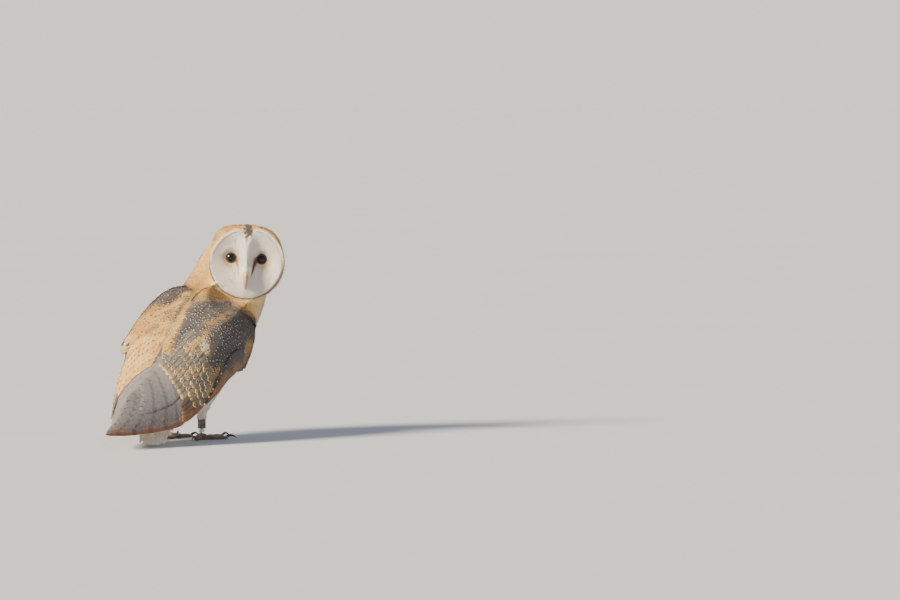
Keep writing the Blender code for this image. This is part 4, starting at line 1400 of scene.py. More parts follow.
class Quills:
    """Gathers long feathers of one kind, each with its own place on the bake map."""

    def __init__(self):
        self.sheets = []

    def add(self, top, under, x, y, plume, marks, under_plume=UNDERSIDE):
        """Keep one feather: its two sheets, its ruler and its markings."""
        luck = chance.random()
        numbers = np.stack((x, y, np.full_like(x, luck)), -1)
        below = np.broadcast_to(np.array(under_plume), plume.shape)
        self.sheets.append((top, under, numbers, plume, marks, below))

    def piece(self, name, slot, replaces=(), finish=flight_finish):
        """All gathered feathers as one mesh."""
        rows, columns = self.sheets[0][0].shape[:2]
        faces = strip_faces(rows, columns)
        size = 2 * rows * columns
        across = int(math.ceil(math.sqrt(len(self.sheets))))
        down = int(math.ceil(len(self.sheets) / across))
        points, vane, plume, marks, patches = [], [], [], [], []
        u, v = np.meshgrid(np.linspace(0.04, 0.46, columns), np.linspace(0.05, 0.95, rows))
        for index, (top, under, numbers, own_plume, own_marks, below) in enumerate(self.sheets):
            points += [top.reshape(-1, 3), under.reshape(-1, 3)]
            vane += [numbers.reshape(-1, 3)] * 2
            plume += [own_plume.reshape(-1, 3), below.reshape(-1, 3)]
            marks += [own_marks.reshape(-1, 3), own_marks.reshape(-1, 3) * UNDER_BARS]
            cell = np.array((index % across, index // across))
            for shift in (0.0, 0.5):
                corner = np.stack((u + shift, v), -1).reshape(-1, 2)
                patches.append((corner + cell) / (across, down))
        firsts = np.arange(len(self.sheets))[:, None, None] * size
        all_faces = (firsts + faces[None]).reshape(-1, 3)
        numbers = {"vane": np.vstack(vane), "plume": np.vstack(plume), "marks": np.vstack(marks)}
        mesh_piece(name, np.vstack(points), all_faces, finish, replaces, numbers,
                   patches=np.vstack(patches))


print("finishes for long feathers:", flight_finish.name, "and", covert_finish.name)

# %% [markdown]
# ### One long feather on the wing
# A feather of the wing is drawn on the map of the wing: it starts at one row and share and ends
# at another. Its width and lift are in millimetres, so it keeps its size where the wing narrows.

# %% One long feather on the wing
VANE_CAMBER = 0.25


def wing_quill(quills, side, rows, shares, width, lifts, point, length, marking, tilt=0.35):
    """One long feather from a root to a tip; each share is where its lower edge lies down the wing."""
    s = np.linspace(0.0, 1.0, LONG_ROWS)[:, None]
    c = LONG_ACROSS[None, :]
    t = rows[0] + (rows[1] - rows[0]) * s + 0.0 * c
    height = wing_sheet(t, np.full_like(t, 0.5))[1]
    full = np.minimum(width / 2, 0.5 * height)
    half = full * vane_outline(s, point)
    share = shares[0] + (shares[1] - shares[0]) * s + (c * half - full) / height
    lift = lifts[0] + (lifts[1] - lifts[0]) * s + tilt * c - VANE_CAMBER * c ** 2
    top = wing_spot(t, share, side, lift)
    under = wing_spot(t, share, side, lift - LONG_THICKNESS)
    plume, marks = marking(s + 0.0 * c, c + 0.0 * s, top)
    quills.add(top, under, c * half, (1.0 - s) * length + 0.0 * c, plume, marks)


print("rows and columns of a long vane:", LONG_ROWS, len(LONG_ACROSS))

# %% [markdown]
# ### Markings of the long feathers
# A rule here reads how far along the vane a point is and how far across. Secondaries are grey
# with broad bars, primaries turn rusty on the outer edge, the coverts repeat the patches of the
# wing, and the small feathers at the wing's edge are the darkest and rustiest of all.

# %% Markings of the long feathers
OUTER_PRIMARY = 5
SECONDARY_LENGTH = 85.0
PRIMARY_LENGTH = 125.0


def secondary_marks(s, c, spots):
    """Grey with bars, warmer at the root and along the lower edge."""
    edge = rise(c, 0.3, 1.0)
    root = rise(-s, -0.42, -0.16)
    grey = 0.92 - 0.25 * edge - 0.20 * root
    plume = layered(0.45 + 0.2 * edge, grey, 0.12 * edge + 0.40 * root)
    return plume, layered(0.0, 0.46, 0.15 * rise(s, 0.93, 1.0))


def primary_marks(j):
    """Grey with bars; the further out the feather, the more rust along its edge."""
    def marking(s, c, spots):
        outer = j > OUTER_PRIMARY
        edge = rise(c, 0.3 - 0.7 * outer, 0.95) * (0.3 + 0.7 * outer)
        end = rise(s, 0.72, 1.0)
        rust = (0.15 + 0.12 * j) * edge + 0.30 * end
        plume = layered(0.5 + 0.4 * edge, 0.94 - 0.66 * edge - 0.15 * end, rust)
        return plume, layered(0.0, 0.48, 0.45 * end)
    return marking


def covert_marks(side, dots):
    """Coverts of the long feathers: marbled buff with a pale end and a dark spot before it; the near wing's
    are painted greyer, a painted shade.
    """
    def marking(s, c, spots):
        plume, _ = wing_marks(spots.reshape(-1, 3))
        # the near wing's coverts get more grey than the far wing's: painted shade
        extra_grey = 0.08 if side == "right" else 0.02
        plume = plume.reshape(spots.shape) * (1.0, 0.9, 0.8) + (0.0, extra_grey, 0.0)
        edge = rise(s, 0.80, 0.97) * (0.25 + 0.35 * chance.random())
        plume[..., 1] *= 1.0 - edge
        plume[..., 0] -= 0.25 * edge
        return plume.clip(0.0, 1.0), layered(0.85 * dots, 0.12, 0 * s)
    return marking


def lead_marks(j, dots=1.1):
    """Feathers of the wing's edge: dark brown with pale spots, each rustier than the last."""
    def marking(s, c, spots):
        edge = rise(c, -0.2, 0.8)
        grey = max(0.80 - 0.07 * j, 0.45) - 0.15 * edge
        plume = layered(0.9, grey, 0.20 + 0.05 * j + 0.20 * edge)
        return plume, layered(dots + 0 * s, 0.5, 0.25)
    return marking


for kind, vane_length in (("secondary", SECONDARY_LENGTH), ("primary", PRIMARY_LENGTH)):
    print("bars on a", kind, "at most:", int(vane_length / BAR_STEP))

# %% [markdown]
# ### Fans of flight feathers
# The seven secondaries that show lie side by side, and the eight primaries run past them to the
# wing's point, each a little further than the one above it. The far wing's tips spread less.

# %% Secondaries and primaries
SECONDARIES = 7
PRIMARIES = 8


def build_flights(side):
    """The two fans of one wing."""
    quills = Quills()
    for j in range(SECONDARIES):
        rows = (4.5, 7.15 + 0.15 * j)
        shares = (0.15 + 0.085 * j, 0.15 + 0.080 * j)
        wing_quill(quills, side, rows, shares, 19.0, (-1.5, -0.5), 10.0, SECONDARY_LENGTH,
                   secondary_marks, 0.12)
    quills.piece("secondaries_" + side, "barred", ["wing_%s_secondaries" % side])
    tip_step = 0.23 if side == "right" else 0.14
    quills = Quills()
    for j in range(PRIMARIES):
        rows = (4.9, 8.3 + tip_step * j)
        shares = (0.60 + 0.055 * j, 0.24 + 0.105 * j)
        wing_quill(quills, side, rows, shares, 20.0, (-1.5, -0.6), 6.0, PRIMARY_LENGTH,
                   primary_marks(j), 0.12)
    quills.piece("primaries_" + side, "barred", ["wing_%s_primaries" % side])


print("flight feathers on a wing:", SECONDARIES + PRIMARIES)

# %% [markdown]
# ### Coverts, alula and the wing's edge
# Six rows of coverts overlap like roof tiles, the hindmost first. Their ends vary a little, as
# equal tips look machine-made. A few stiff feathers close the wing's lower edge and its front.

# %% Coverts, alula and the wing's edge
# root row, tip row, how many, width, lift of the root and of the tip, dots
COVERT_ROWS = ((4.70, 5.60, 11, 12.5, -1.4, 0.00, 0.0), (4.45, 5.24, 12, 11.5, -1.4, 0.20, 1.0),
               (4.20, 4.93, 13, 10.5, -1.5, 0.36, 1.0), (3.98, 4.66, 14, 10.0, -1.8, 0.50, 1.0),
               (3.78, 4.42, 15, 9.5, -2.2, 0.62, 1.0), (3.62, 4.20, 15, 9.0, -2.6, 0.70, 1.0))
DOTTED_SHARE = 0.75


def build_coverts(side):
    """The rows of coverts over the roots of the flight feathers."""
    quills = Quills()
    for root, tip, count, width, low, high, dots in COVERT_ROWS:
        for k in range(count):
            share = 0.12 + 0.86 * (k + 0.5 * (count % 2)) / (count - 0.5) + 0.02 * (chance.random() - 0.5)
            tip_row = tip + 0.10 * math.sin(3.0 * share) + 0.10 * (chance.random() - 0.5)
            marking = covert_marks(side, dots * (chance.random() < DOTTED_SHARE))
            wing_quill(quills, side, (root, tip_row), (share, share), width, (low, high), 3.2, 24.0,
                       marking, 0.22)
    quills.piece("great_coverts_" + side, "grey" if side == "right" else "buff", finish=covert_finish)


def build_edge(side):
    """The feathers of the lower edge, then the alula and the coverts of the wing's front."""
    quills = Quills()
    for j in range(5):
        shares = (0.80 + 0.048 * j, 0.80 + 0.048 * j)
        wing_quill(quills, side, (3.5 + 0.1 * j, 5.9 + 0.05 * j), shares, 10.0, (-2.4, 0.5), 4.0, 50.0,
                   lead_marks(j + 2, 0.0))
    for j in range(7):
        shares = (0.90 + 0.018 * j, 0.88 + 0.023 * j)
        wing_quill(quills, side, (1.6, 2.9 + 0.32 * j), shares, 8.0, (-0.6, 1.5 - 0.12 * j), 4.0, 34.0,
                   lead_marks(j))
    quills.piece("alula_" + side, "grey", ["wing_%s_alula" % side], feather_finish)


for side in SIDES:
    build_flights(side)
    build_coverts(side)
    build_edge(side)

# %% [markdown]
# ## Tail
# Twelve short broad feathers close into a blunt, uneven end. The middle pair lies on top, and
# each pair further out sits lower, so the tail is thin at its sides.

# %% The tail as a surface
# middle line of the tail (right, forward, up), and its half width
TAIL = np.array((
    (0.0, -60.0, 60.0, 19.0),
    (1.0, -82.0, 45.0, 21.0),
    (4.0, -104.0, 27.0, 20.0),
    (7.0, -121.0, 12.0, 18.5),
    (10.0, -134.0, 2.9, 16.5),
    (12.0, -142.0, 1.5, 13.0),
))
OFF_GROUND = 0.05


def tail_spot(t, across, lift):
    """World points on the tail's sheet: across in millimetres, lift square to the sheet."""
    row = row_at(TAIL, t)
    run = unit((row_at(TAIL, t + 0.05) - row_at(TAIL, t - 0.05))[..., :3])
    level = unit(np.array((1.0, 0.0, 0.0)) - run * run[..., :1])
    normal = np.cross(run, level)
    normal = normal * np.where(normal[..., 2:] < 0.0, -1.0, 1.0)
    point = row[..., :3] + level * across[..., None] + normal * lift[..., None]
    point[..., 2] = np.maximum(point[..., 2], OFF_GROUND)
    return place(point[..., 0], point[..., 1], point[..., 2])


print("tail length:", round(float(np.linalg.norm(TAIL[-1][:3] - TAIL[0][:3]))), "mm")

# %% [markdown]
# ### Twelve tail feathers
# The feathers aren't spread evenly: pairs stand closer and wider apart, and their tips end at
# different lengths, so the end of the tail shows separate rounded tips. A painted shadow along
# each vane's edges parts them further.

# %% Tail feathers
# how far out each pair lies, from the middle pair to the outermost
TAIL_FAN = (0.06, 0.22, 0.30, 0.62, 0.72, 1.0)
TAIL_HALF_VANE = 5.0
TAIL_LENGTH = 95.0
TAIL_UNDERSIDE = (0.04, 0.0, 0.0)


def build_tail():
    """Both feathers of each pair, the outermost pair first."""
    quills = Quills()
    s = np.linspace(0.0, 1.0, LONG_ROWS)[:, None]
    c = LONG_ACROSS[None, :]
    for pair in (5, 4, 3, 2, 1, 0):
        for hand in (-1.0, 1.0):
            spread = hand * TAIL_FAN[pair]
            uneven = 0.34 * math.sin(2.6 * pair + 1.1 * hand)
            t = 0.5 + (4.6 - 1.3 * abs(spread) ** 1.2 + uneven) * s + 0.0 * c
            half = TAIL_HALF_VANE * vane_outline(s, 2.6)
            across = spread * 0.76 * row_at(TAIL, t)[..., 3] * (0.50 + 0.50 * s) + c * half
            lift = 2.2 - 0.55 * pair - 0.55 * hand * c - 0.35 * c ** 2 + 0.0 * s
            # grey toward the root, and grey along both edges of each vane, which is a painted shadow where
            # the feathers overlap
            root_grey_and_edge_shadow = 0.22 * rise(-s, -0.70, -0.3) + 0.22 * rise(np.abs(c), 0.7, 1.0)
            plume = layered(0.0, root_grey_and_edge_shadow, 0.0)
            marks = layered(0.0, 0.45 * rise(-s, -0.80, -0.5), 0 * c)
            top = tail_spot(t, across, lift)
            under = tail_spot(t, across, lift - LONG_THICKNESS)
            from_tip = (1.0 - s) * TAIL_LENGTH + 0.0 * c
            quills.add(top, under, c * half, from_tip, plume, marks, TAIL_UNDERSIDE)
    quills.piece("tail_feathers", "white", ["tail"])


build_tail()

# %% [markdown]
# ### Tail coverts
# Soft white feathers hide the roots of the tail above and below. They are ordinary vanes, laid
# on the tail's own sheet instead of the skin, and grow smaller toward the tail's end.

# %% Tail coverts
TAIL_COVERTS = 320


def tail_coverts():
    """Soft white feathers over and under the tail's root, so it comes out of the body thick."""
    count = TAIL_COVERTS
    t = 3.4 * chance.random(count) ** 1.3
    upper = np.where(np.arange(count) % 2 == 0, 1.0, -1.0)
    across = (2.0 * chance.random(count) - 1.0) * 0.85 * row_at(TAIL, t)[:, 3]
    lift = np.where(upper > 0.0, 1.6, -1.2) * (1.0 - 0.12 * t)
    spot = tail_spot(t, across, lift)
    lie = unit(tail_spot(t + 0.2, across, lift) - spot)
    beside = tail_spot(t, across + 1.0, lift) - spot
    normal = unit(np.cross(lie, beside))
    normal = normal * np.sign(normal[:, 2:]) * upper[:, None]
    fade = (1.0 - 0.2 * t)[:, None]
    own = {"spot": spot, "normal": normal, "flow": lie, "size": fade * (20.0, 7.0, 3.0),
           "plume": np.where(upper[:, None] > 0.0, (0.04, 0.03, 0.0), (0.0, 0.0, 0.0)),
           "marks": np.zeros((count, 3))}
    vanes("tail_coverts", own, feather_finish, on_body=False, lift=0.9, wobble=0.15)


tail_coverts()

# %% [markdown]
# ## Eyes
# A barn owl's eyes are nearly black, wet and set deep, with a bare narrow lid round each. The
# ball is a sphere with the cornea's extra bulge. Iris and pupil are rings round the line of
# sight, worked out from a stored place; the brown iris only shows in strong light.

# %% Finish of the eye
IRIS_DARK = (0.022, 0.010, 0.005)
IRIS_LIGHT = (0.050, 0.024, 0.012)
PUPIL = (0.003, 0.0025, 0.003)
EYE_EDGE = (0.012, 0.007, 0.005)


def eye_finish():
    """Nearly black and wet: a pupil, a fibrous iris and a dark edge."""
    bench = Bench("eye")
    across, up, _ = bench.parts("gaze")
    radius = (across * across + up * up) ** 0.5
    fibres = bench.noise(bench.vector(across * 6.0, up * 6.0, radius), 1.4, 4.0)
    iris = bench.mix(IRIS_DARK, IRIS_LIGHT, fibres.step(0.35, 0.7))
    colour = bench.mix(iris, PUPIL, radius.step(4.3, 3.7))
    colour = bench.mix(colour, EYE_EDGE, radius.step(5.2, 5.8))
    return bench.finish(colour, 0.04 + fibres * 0.03, Specular_IOR_Level=0.42)


eye_material = eye_finish()
print("eye material:", len(eye_material.node_tree.nodes), "nodes")

# %% [markdown]
# ### The ball
# The grid's poles lie on the line of sight, where the cornea bulges. Faces there shrink to
# nothing along one edge, and those without an area are left out.

# %% Eyeballs
CORNEA_BULGE = 0.5
CORNEA_SPREAD = 0.55
NO_AREA = 1e-9


def ball_grid(rings, segments):
    """Polar and turning angles of a ball's grid, with triangles."""
    down = np.linspace(0.0, math.pi, rings)
    around = np.linspace(0, 2 * math.pi, segments, endpoint=False)
    polar, turning = np.meshgrid(down, around, indexing="ij")
    faces = []
    for i in range(rings - 1):
        for k in range(segments):
            m = (k + 1) % segments
            a, b = i * segments + k, (i + 1) * segments + k
            c, d = (i + 1) * segments + m, i * segments + m
            faces += [(a, b, c), (a, c, d)]
    return polar, turning, np.array(faces)


def build_eye(side):
    """One ball, with the direction of sight stored for its finish."""
    hand = 1.0 if side == "left" else -1.0
    polar, turning, faces = ball_grid(33, 48)
    cornea = CORNEA_BULGE * np.exp(-(polar / CORNEA_SPREAD) ** 2)
    bulge = EYE_RADIUS + cornea - CORNEA_BULGE * 0.6
    x, y = np.sin(polar) * np.cos(turning) * bulge, np.sin(polar) * np.sin(turning) * bulge
    z = np.cos(polar) * bulge
    points = on_head(hand * EYE_ACROSS + x, EYE_UP + y, z - EYE_DEPTH)
    gaze = np.stack((x, y, z), -1).reshape(-1, 3)
    a, b, c = (gaze[faces[:, k]] for k in range(3))
    solid_faces = faces[np.linalg.norm(np.cross(b - a, c - a), axis=1) > NO_AREA]
    mesh_piece("eyeball_" + side, points.reshape(-1, 3), solid_faces, eye_material,
               ["eye_" + side], {"gaze": gaze})


for side in SIDES:
    build_eye(side)

# %% [markdown]
# ### Lids
# A narrow bare lid frames each eye, with a small point toward the bill. Its inner edge rests on
# the ball and its outer edge sinks under the feathers. A profile of eight points is carried
# round the opening, as on a lathe.

# %% Lids
LID_OPENING = 4.75
LID_FLATTER = 0.045
INNER_CORNER = 0.5
# the profile from the ball outward and back under: millimetres out of the opening, and up
LID_STEPS = (0.0, 0.08, 0.30, 0.65, 1.05, 1.6, 1.6, 0.0)
LID_RISES = (0.08, 0.40, 0.52, 0.42, 0.15, -0.5, -1.4, -0.8)


def lid_finish():
    """Dark bare skin with a fine grain."""
    bench = Bench("lid")
    grain = bench.noise(bench.place(), 1400.0, 3.0)
    colour = bench.mix((0.030, 0.018, 0.015), (0.10, 0.055, 0.042), grain.step(0.3, 0.7))
    return bench.finish(colour, 0.45 + grain * 0.2, grain, 0.0001)


lid_material = lid_finish()


def build_lid(side):
    """The profile carried round one eye's opening."""
    hand = 1.0 if side == "left" else -1.0
    turning = np.linspace(0.0, 2 * math.pi, 56, endpoint=False)[:, None]
    steps = np.array(LID_STEPS)[None, :]
    corner = INNER_CORNER * np.exp(-((np.cos(turning) * hand + 1.0) / 0.10) ** 2)
    radius = LID_OPENING * (1.0 - LID_FLATTER * np.sin(turning) ** 2) + corner + steps
    x, y = radius * np.cos(turning), radius * np.sin(turning)
    on_ball = -EYE_DEPTH + np.sqrt(np.maximum(EYE_RADIUS ** 2 - radius ** 2, 1.0))
    on_face = face_height(hand * EYE_ACROSS + x, EYE_UP + y) + RIM_LIFT - FACE_COAT * 0.5
    blend = rise(steps + 0 * turning, 0.0, 1.3)
    z = on_ball * (1.0 - blend) + on_face * blend + np.array(LID_RISES)[None, :]
    points = on_head(hand * EYE_ACROSS + x, EYE_UP + y, z)
    rows, columns = x.shape
    faces = []
    for i in range(rows):
        for k in range(columns):
            m, n = (k + 1) % columns, (i + 1) % rows
            a, b, c, d = i * columns + k, i * columns + m, n * columns + m, n * columns + k
            faces += [(a, b, c), (a, c, d)]
    mesh_piece("lid_" + side, points.reshape(-1, 3), np.array(faces), lid_material)


for side in SIDES:
    build_lid(side)

# %% [markdown]
# ## Ruff
# A rim of short stiff feathers frames each half of the face, white inside and golden outside.
# Those of the lower half end in a fine brown line. Nearly even spacing keeps that line unbroken;
# only the notch over the ridge stays free.

# %% Rim feathers
BROW_LIFT = 1.5
NOTCH_CLEAR = math.radians(9.5)


def ruff_set(count, scale, out, size, outward, forward, gold, grey, dark):
    """Roots round the disc: how far out, how far forward, and which way they lean."""
    angle = np.linspace(-math.pi, math.pi, count, endpoint=False) + (chance.random(count) - 0.5) * 0.02
    angle = angle[np.abs(angle - 0.5 * math.pi) > NOTCH_CLEAR]
    count = len(angle)
    radius = disc_radius(angle) * scale
    c, s = np.cos(angle)[:, None], np.sin(angle)[:, None]
    radial = face_across * c + face_up * s
    lie = unit(radial * outward + face_out * forward)
    normal = unit(face_out * outward - radial * forward)
    low = rise(-np.sin(angle), -0.35, 0.25)
    out = out + BROW_LIFT * rise(np.sin(angle), -0.1, 0.35)
    spot = on_head(radius * c[:, 0], radius * s[:, 0], out)
    own = {"spot": spot, "normal": normal, "flow": lie, "size": np.tile(size, (count, 1)),
           "plume": layered(gold * (1.0 - 0.3 * low), grey, 0.0), "marks": np.zeros((count, 3))}
    return own, dark * low


# how many, scale of the outline, out, size, outward, forward, gold, grey, darkness of the tip
RUFF_ROWS = ((250, 0.968, -0.95, (2.8, 1.5, 0.6), 1.0, -0.10, 0.16, 0.0, 0.95),
             (230, 0.990, -1.7, (3.4, 1.9, 0.7), 1.0, -0.45, 0.70, 0.0, 0.15))
for index, row in enumerate(RUFF_ROWS):
    own, tip_dark = ruff_set(*row)
    vanes("ruff_%d" % index, own, feather_finish, ("white", "buff")[index], rows=5, on_body=False,
          lift=0.8, base=0.3, wobble=0.08, tip_dark=tip_dark)

# %% [markdown]
# ### Behind the rim
# Seen from behind, the rim's feathers have to grow out of the head. A third set starts at the
# rim and is scattered backward over the head, longer the further it goes, in shuffled order.

# %% Feathers behind the rim
BACK_ROW = (1500, 1.0, 0.0, (8.0, 2.6, 1.0), 0.12, -1.0, 0.88, 0.04, 0.0)


def ruff_back():
    """Behind the rim the feathers lie back over the head, in no order."""
    depth = 2.2 + 8.0 * chance.random(BACK_ROW[0])
    own, _ = ruff_set(*BACK_ROW)
    depth = depth[:len(own["spot"])]
    inward = (HEAD_MIDDLE - own["spot"]) * (0.006 * depth - 0.03)[:, None]
    inward = inward - face_out * (inward * face_out).sum(1, keepdims=True)
    own["spot"] = own["spot"] + inward - face_out * (depth * MM)[:, None]
    own["size"] = own["size"] * (0.55 + 0.055 * depth)[:, None]
    order = chance.permutation(len(depth))
    own = {key: values[order] for key, values in own.items()}
    vanes("ruff_back", own, feather_finish, "buff", on_body=False, lift=0.7, base=0.2, wobble=0.2)


ruff_back()

# %% [markdown]
# ### Bristles
# Fine white bristles run down the ridge and over the root of the bill. To sit on the bill and
# not in it, each root is found by a ray from in front, which meets the bill or the face first.

# %% Bristles over the bill's root
BRISTLES = 340
IN_FRONT = 40.0


def over_bill(across, up):
    """Height over the rim of whatever is foremost there: the face, or the upper bill."""
    corners, triangles = mesh_arrays(solids["bill_upper"].data)
    bill = BVHTree.FromPolygons(corners.tolist(), triangles.tolist())
    height = face_height(across, up) + 0.1
    for index, start in enumerate(on_head(across, up, np.full_like(up, IN_FRONT))):
        hit = bill.ray_cast(Vector(start), Vector(-face_out))
        if hit[0] is not None:
            height[index] = max(height[index], IN_FRONT - hit[3] / MM)
    return height


def bill_bristles():
    """Fine white bristles run down the ridge and hide the root of the bill."""
    across = (2.0 * chance.random(BRISTLES) - 1.0) * 5.2
    up = -3.0 - 7.8 * chance.random(BRISTLES) + 0.25 * np.abs(across)
    spot = on_head(across, up, over_bill(across, up))
    lie = unit(face_out * 0.10 - face_up + face_across * (across * 0.035)[:, None])
    normal = unit(face_out + face_across * (across * 0.16)[:, None])
    low = rise(-up, 6.0, 11.0)
    lie = unit(lie - normal * (lie * normal).sum(1, keepdims=True))
    size = (0.7 + 0.6 * chance.random(BRISTLES))[:, None] * (5.2, 0.8, 0.9)
    own = {"spot": spot, "normal": normal, "flow": lie, "size": size,
           "plume": layered(0.08 + 0.30 * low, 0.0, 0.12 * low), "marks": np.zeros((BRISTLES, 3))}
    vanes("bristles", own, feather_finish, rows=4, on_body=False, lift=1.0, base=0.3, wobble=0.15)


bill_bristles()

# %% [markdown]
# ## Bill, feet, claws and ring
# The bare parts keep the solids' shapes, but without their facets: a fine remesh and a little
# relaxing round them. Scales, growth lines and scratches come from their finishes, which read
# how far along the part a point is.

# %% Bill
def horn_finish(name, base, tip, low, high, shine):
    """Horn that changes from its base to its tip, with faint growth lines."""
    bench = Bench(name)
    along, _, _ = bench.parts("reach")
    grain = bench.noise(bench.place(), 900.0, 4.0)
    colour = bench.mix(base, tip, along.step(low, high))
    colour = bench.mix(colour, (0.10, 0.06, 0.045), (grain - 0.5).step(0.08, 0.3) * 0.5)
    lines = (along * 40.0 + grain * 2.0).sine() * 0.5 + 0.5
    return bench.finish(colour, shine + grain * 0.15, lines * 0.4 + grain, 0.00008, Coat_Weight=0.2)


bill_finish = horn_finish("bill", (0.42, 0.195, 0.105), (0.50, 0.29, 0.17), 0.1, 0.9, 0.34)


def rounded(name, nodes, voxel, rounds, finish, start, swell=0.0):
    """A smooth copy of some solids; reach runs from 0 at start to 1 at the far end."""
    surface = melted(nodes, voxel, swell, rounds)
    surface.points[:, 2] = np.maximum(surface.points[:, 2], 0.02 * MM)
    distance = np.linalg.norm(surface.points - start, axis=1)
    reach = (distance - distance.min()) / np.ptp(distance)
    under = -surface.normals()[:, 2]
    numbers = {"reach": np.stack((reach, distance / MM, under), axis=1)}
    mesh_piece(name, surface.points, surface.triangles, finish, nodes, numbers)


for half in ("upper", "lower"):
    bill_root = on_head(0.0, -4.0, 2.0)
    rounded("bill_%s_horn" % half, ["bill_" + half], 0.4, 3, bill_finish, bill_root)

# %% [markdown]
# ### Feet and claws
# The toes wear plates on top, pebbles at the sides and pale pads below. The finish tells top
# from underside by a stored number, and sets the plates by the distance from the foot. Foot and
# toes melt into one skin; each claw stays a piece of its own.

# %% Feet and claws
def foot_finish():
    """Plates on top, pebbles at the sides and paler pads below."""
    bench = Bench("scaled skin")
    _, distance, under = bench.parts("reach")
    inputs = {"Vector": bench.place(), "Scale": 620.0}
    cells = bench.node("ShaderNodeTexVoronoi", {"feature": "DISTANCE_TO_EDGE"}, inputs)
    pebbles = cells.step(0.02, 0.16)
    scutes = abs((distance * (math.pi / 2.0)).sine()).step(0.05, 0.4)
    top = under.step(-0.1, -0.6)
    relief = scutes * top + pebbles * (1 - top)
    grain = bench.noise(bench.place(), 260.0, 4.0)
    skin_tone = bench.mix((0.20, 0.145, 0.115), (0.33, 0.22, 0.17), grain.step(0.35, 0.65))
    pads = bench.mix(skin_tone, (0.52, 0.33, 0.24), under.step(0.1, 0.8))
    colour = bench.mix((0.085, 0.055, 0.045), pads, relief * 0.75 + 0.25)
    return bench.finish(colour, 0.62 - relief * 0.12, relief, 0.0004)


TOES = ("inner", "middle", "outer", "hind")
foot_material = foot_finish()
claw_finish = horn_finish("claw", (0.075, 0.055, 0.050), (0.018, 0.014, 0.014), 0.1, 0.7, 0.22)
for side in SIDES:
    nodes = ["foot_" + side] + ["toe_%s_%s" % (side, toe) for toe in TOES]
    rounded("foot_%s_skin" % side, nodes, 0.55, 3, foot_material, middle("foot_" + side), swell=0.2)
    for toe in TOES:
        claw = "claw_%s_%s" % (side, toe)
        root = middle("toe_%s_%s" % (side, toe))
        rounded(claw + "_horn", [claw], 0.22, 2, claw_finish, root, swell=0.12)


# %% [markdown]
# ### Leg ring
# A band of thin aluminium, rolled at its lips and closed round the leg, dull from wear and grime; its dark
# tone all over is painted shade.
# Its section is carried round the leg and stops short of a full turn, which leaves the seam.

# %% Leg ring
SEAM = math.radians(2.0)


def ring_finish():
    """Dull worn metal with scratches round the band and dark grime; the dark tone all over is painted shade.
    """
    bench = Bench("ring metal")
    _, along, _ = bench.parts("reach")
    scratches = bench.noise(bench.vector(along * 3.0, along * 40.0, 1.0), 1.0, 5.0)
    grime = bench.noise(bench.place(), 500.0, 4.0)
    # both tones are far darker than clean aluminium: painted shade, with grime making the darker one
    colour = bench.mix((0.19, 0.18, 0.17), (0.05, 0.045, 0.04), grime.step(0.40, 0.70))
    return bench.finish(colour, 0.30 + grime * 0.35, scratches, 0.00005, Metallic=1.0)


def build_ring():
    """A band with rolled lips, closed but for the fine seam where its ends meet."""
    low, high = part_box("leg_ring")
    centre = (np.array(low) + np.array(high)) / 2
    half = (high[2] - low[2]) / 2 / MM
    # radius and height of the section, inside lip to outer wall and back
    profile = ((3.95, -half + 0.3), (4.1, -half), (4.5, -half), (4.68, -half + 0.3), (4.55, -half + 1.0),
               (4.55, half - 1.0), (4.68, half - 0.3), (4.5, half), (4.1, half), (3.95, half - 0.3))
    turning = np.linspace(SEAM, 2 * math.pi - SEAM, 64)
    points, faces = [], []
    for angle in turning:
        for radius, up in profile:
            points.append(centre + np.array((math.cos(angle) * radius, math.sin(angle) * radius, up)) * MM)
    count = len(profile)
    for i in range(len(turning) - 1):
        for k in range(count):
            a, b = i * count + k, i * count + (k + 1) % count
            faces += [(a, a + count, b + count), (a, b + count, b)]
    last = (len(turning) - 1) * count
    for k in range(1, count - 1):
        faces += [(0, k, k + 1), (last, last + k + 1, last + k)]
    points = np.array(points)
    local = (points - centre) / MM
    angle = np.arctan2(local[:, 1], local[:, 0])
    numbers = {"reach": np.stack((angle, local[:, 2], angle), axis=1)}
    mesh_piece("ring_band", points, np.array(faces), ring_finish(), ["leg_ring"], numbers)


build_ring()

# %% [markdown]
# ## Studio
# The long lens stands far back, as a birdwatcher's does, almost level with the floor. It looks
# past the bird, which keeps it in the left part of the frame.

# %% Camera
# turn round the bird and rise over it, metres away, lens in millimetres, and the aim in metres
CAMERA_TURN = math.radians(205.0)
CAMERA_RISE = math.radians(2.6)
CAMERA_AWAY = 5.6
LENS = 200.0
FRAME_RIGHT = 0.2856
FRAME_UP = 0.1534
SENSOR = 36.0
FARTHEST = 200.0

back = np.array((math.sin(CAMERA_TURN), -math.cos(CAMERA_TURN), 0.0))
frame_right = np.array((-back[1], back[0], 0.0))
owl_middle = ground + np.array((0.0, 0.0, FRAME_UP))
toward_camera = back * math.cos(CAMERA_RISE) + np.array((0, 0, math.sin(CAMERA_RISE)))
camera_spot = owl_middle + toward_camera * CAMERA_AWAY
aim = owl_middle + frame_right * FRAME_RIGHT
camera_data = bpy.data.cameras.new("camera")
camera_data.lens = LENS
camera_data.sensor_width = SENSOR
camera_data.clip_end = FARTHEST
camera = bpy.data.objects.new("camera", camera_data)
camera.location = Vector(camera_spot)
camera.rotation_euler = Vector(aim - camera_spot).to_track_quat("-Z", "Y").to_euler()
bpy.context.scene.collection.objects.link(camera)
bpy.context.scene.camera = camera
print("camera at", np.round(camera_spot, 2))

# %% [markdown]
# ### Floor
# A floor that ends would draw a line behind the bird. This one reaches to the horizon, and its
# tone is matched to the sky there, so that floor and background melt together.

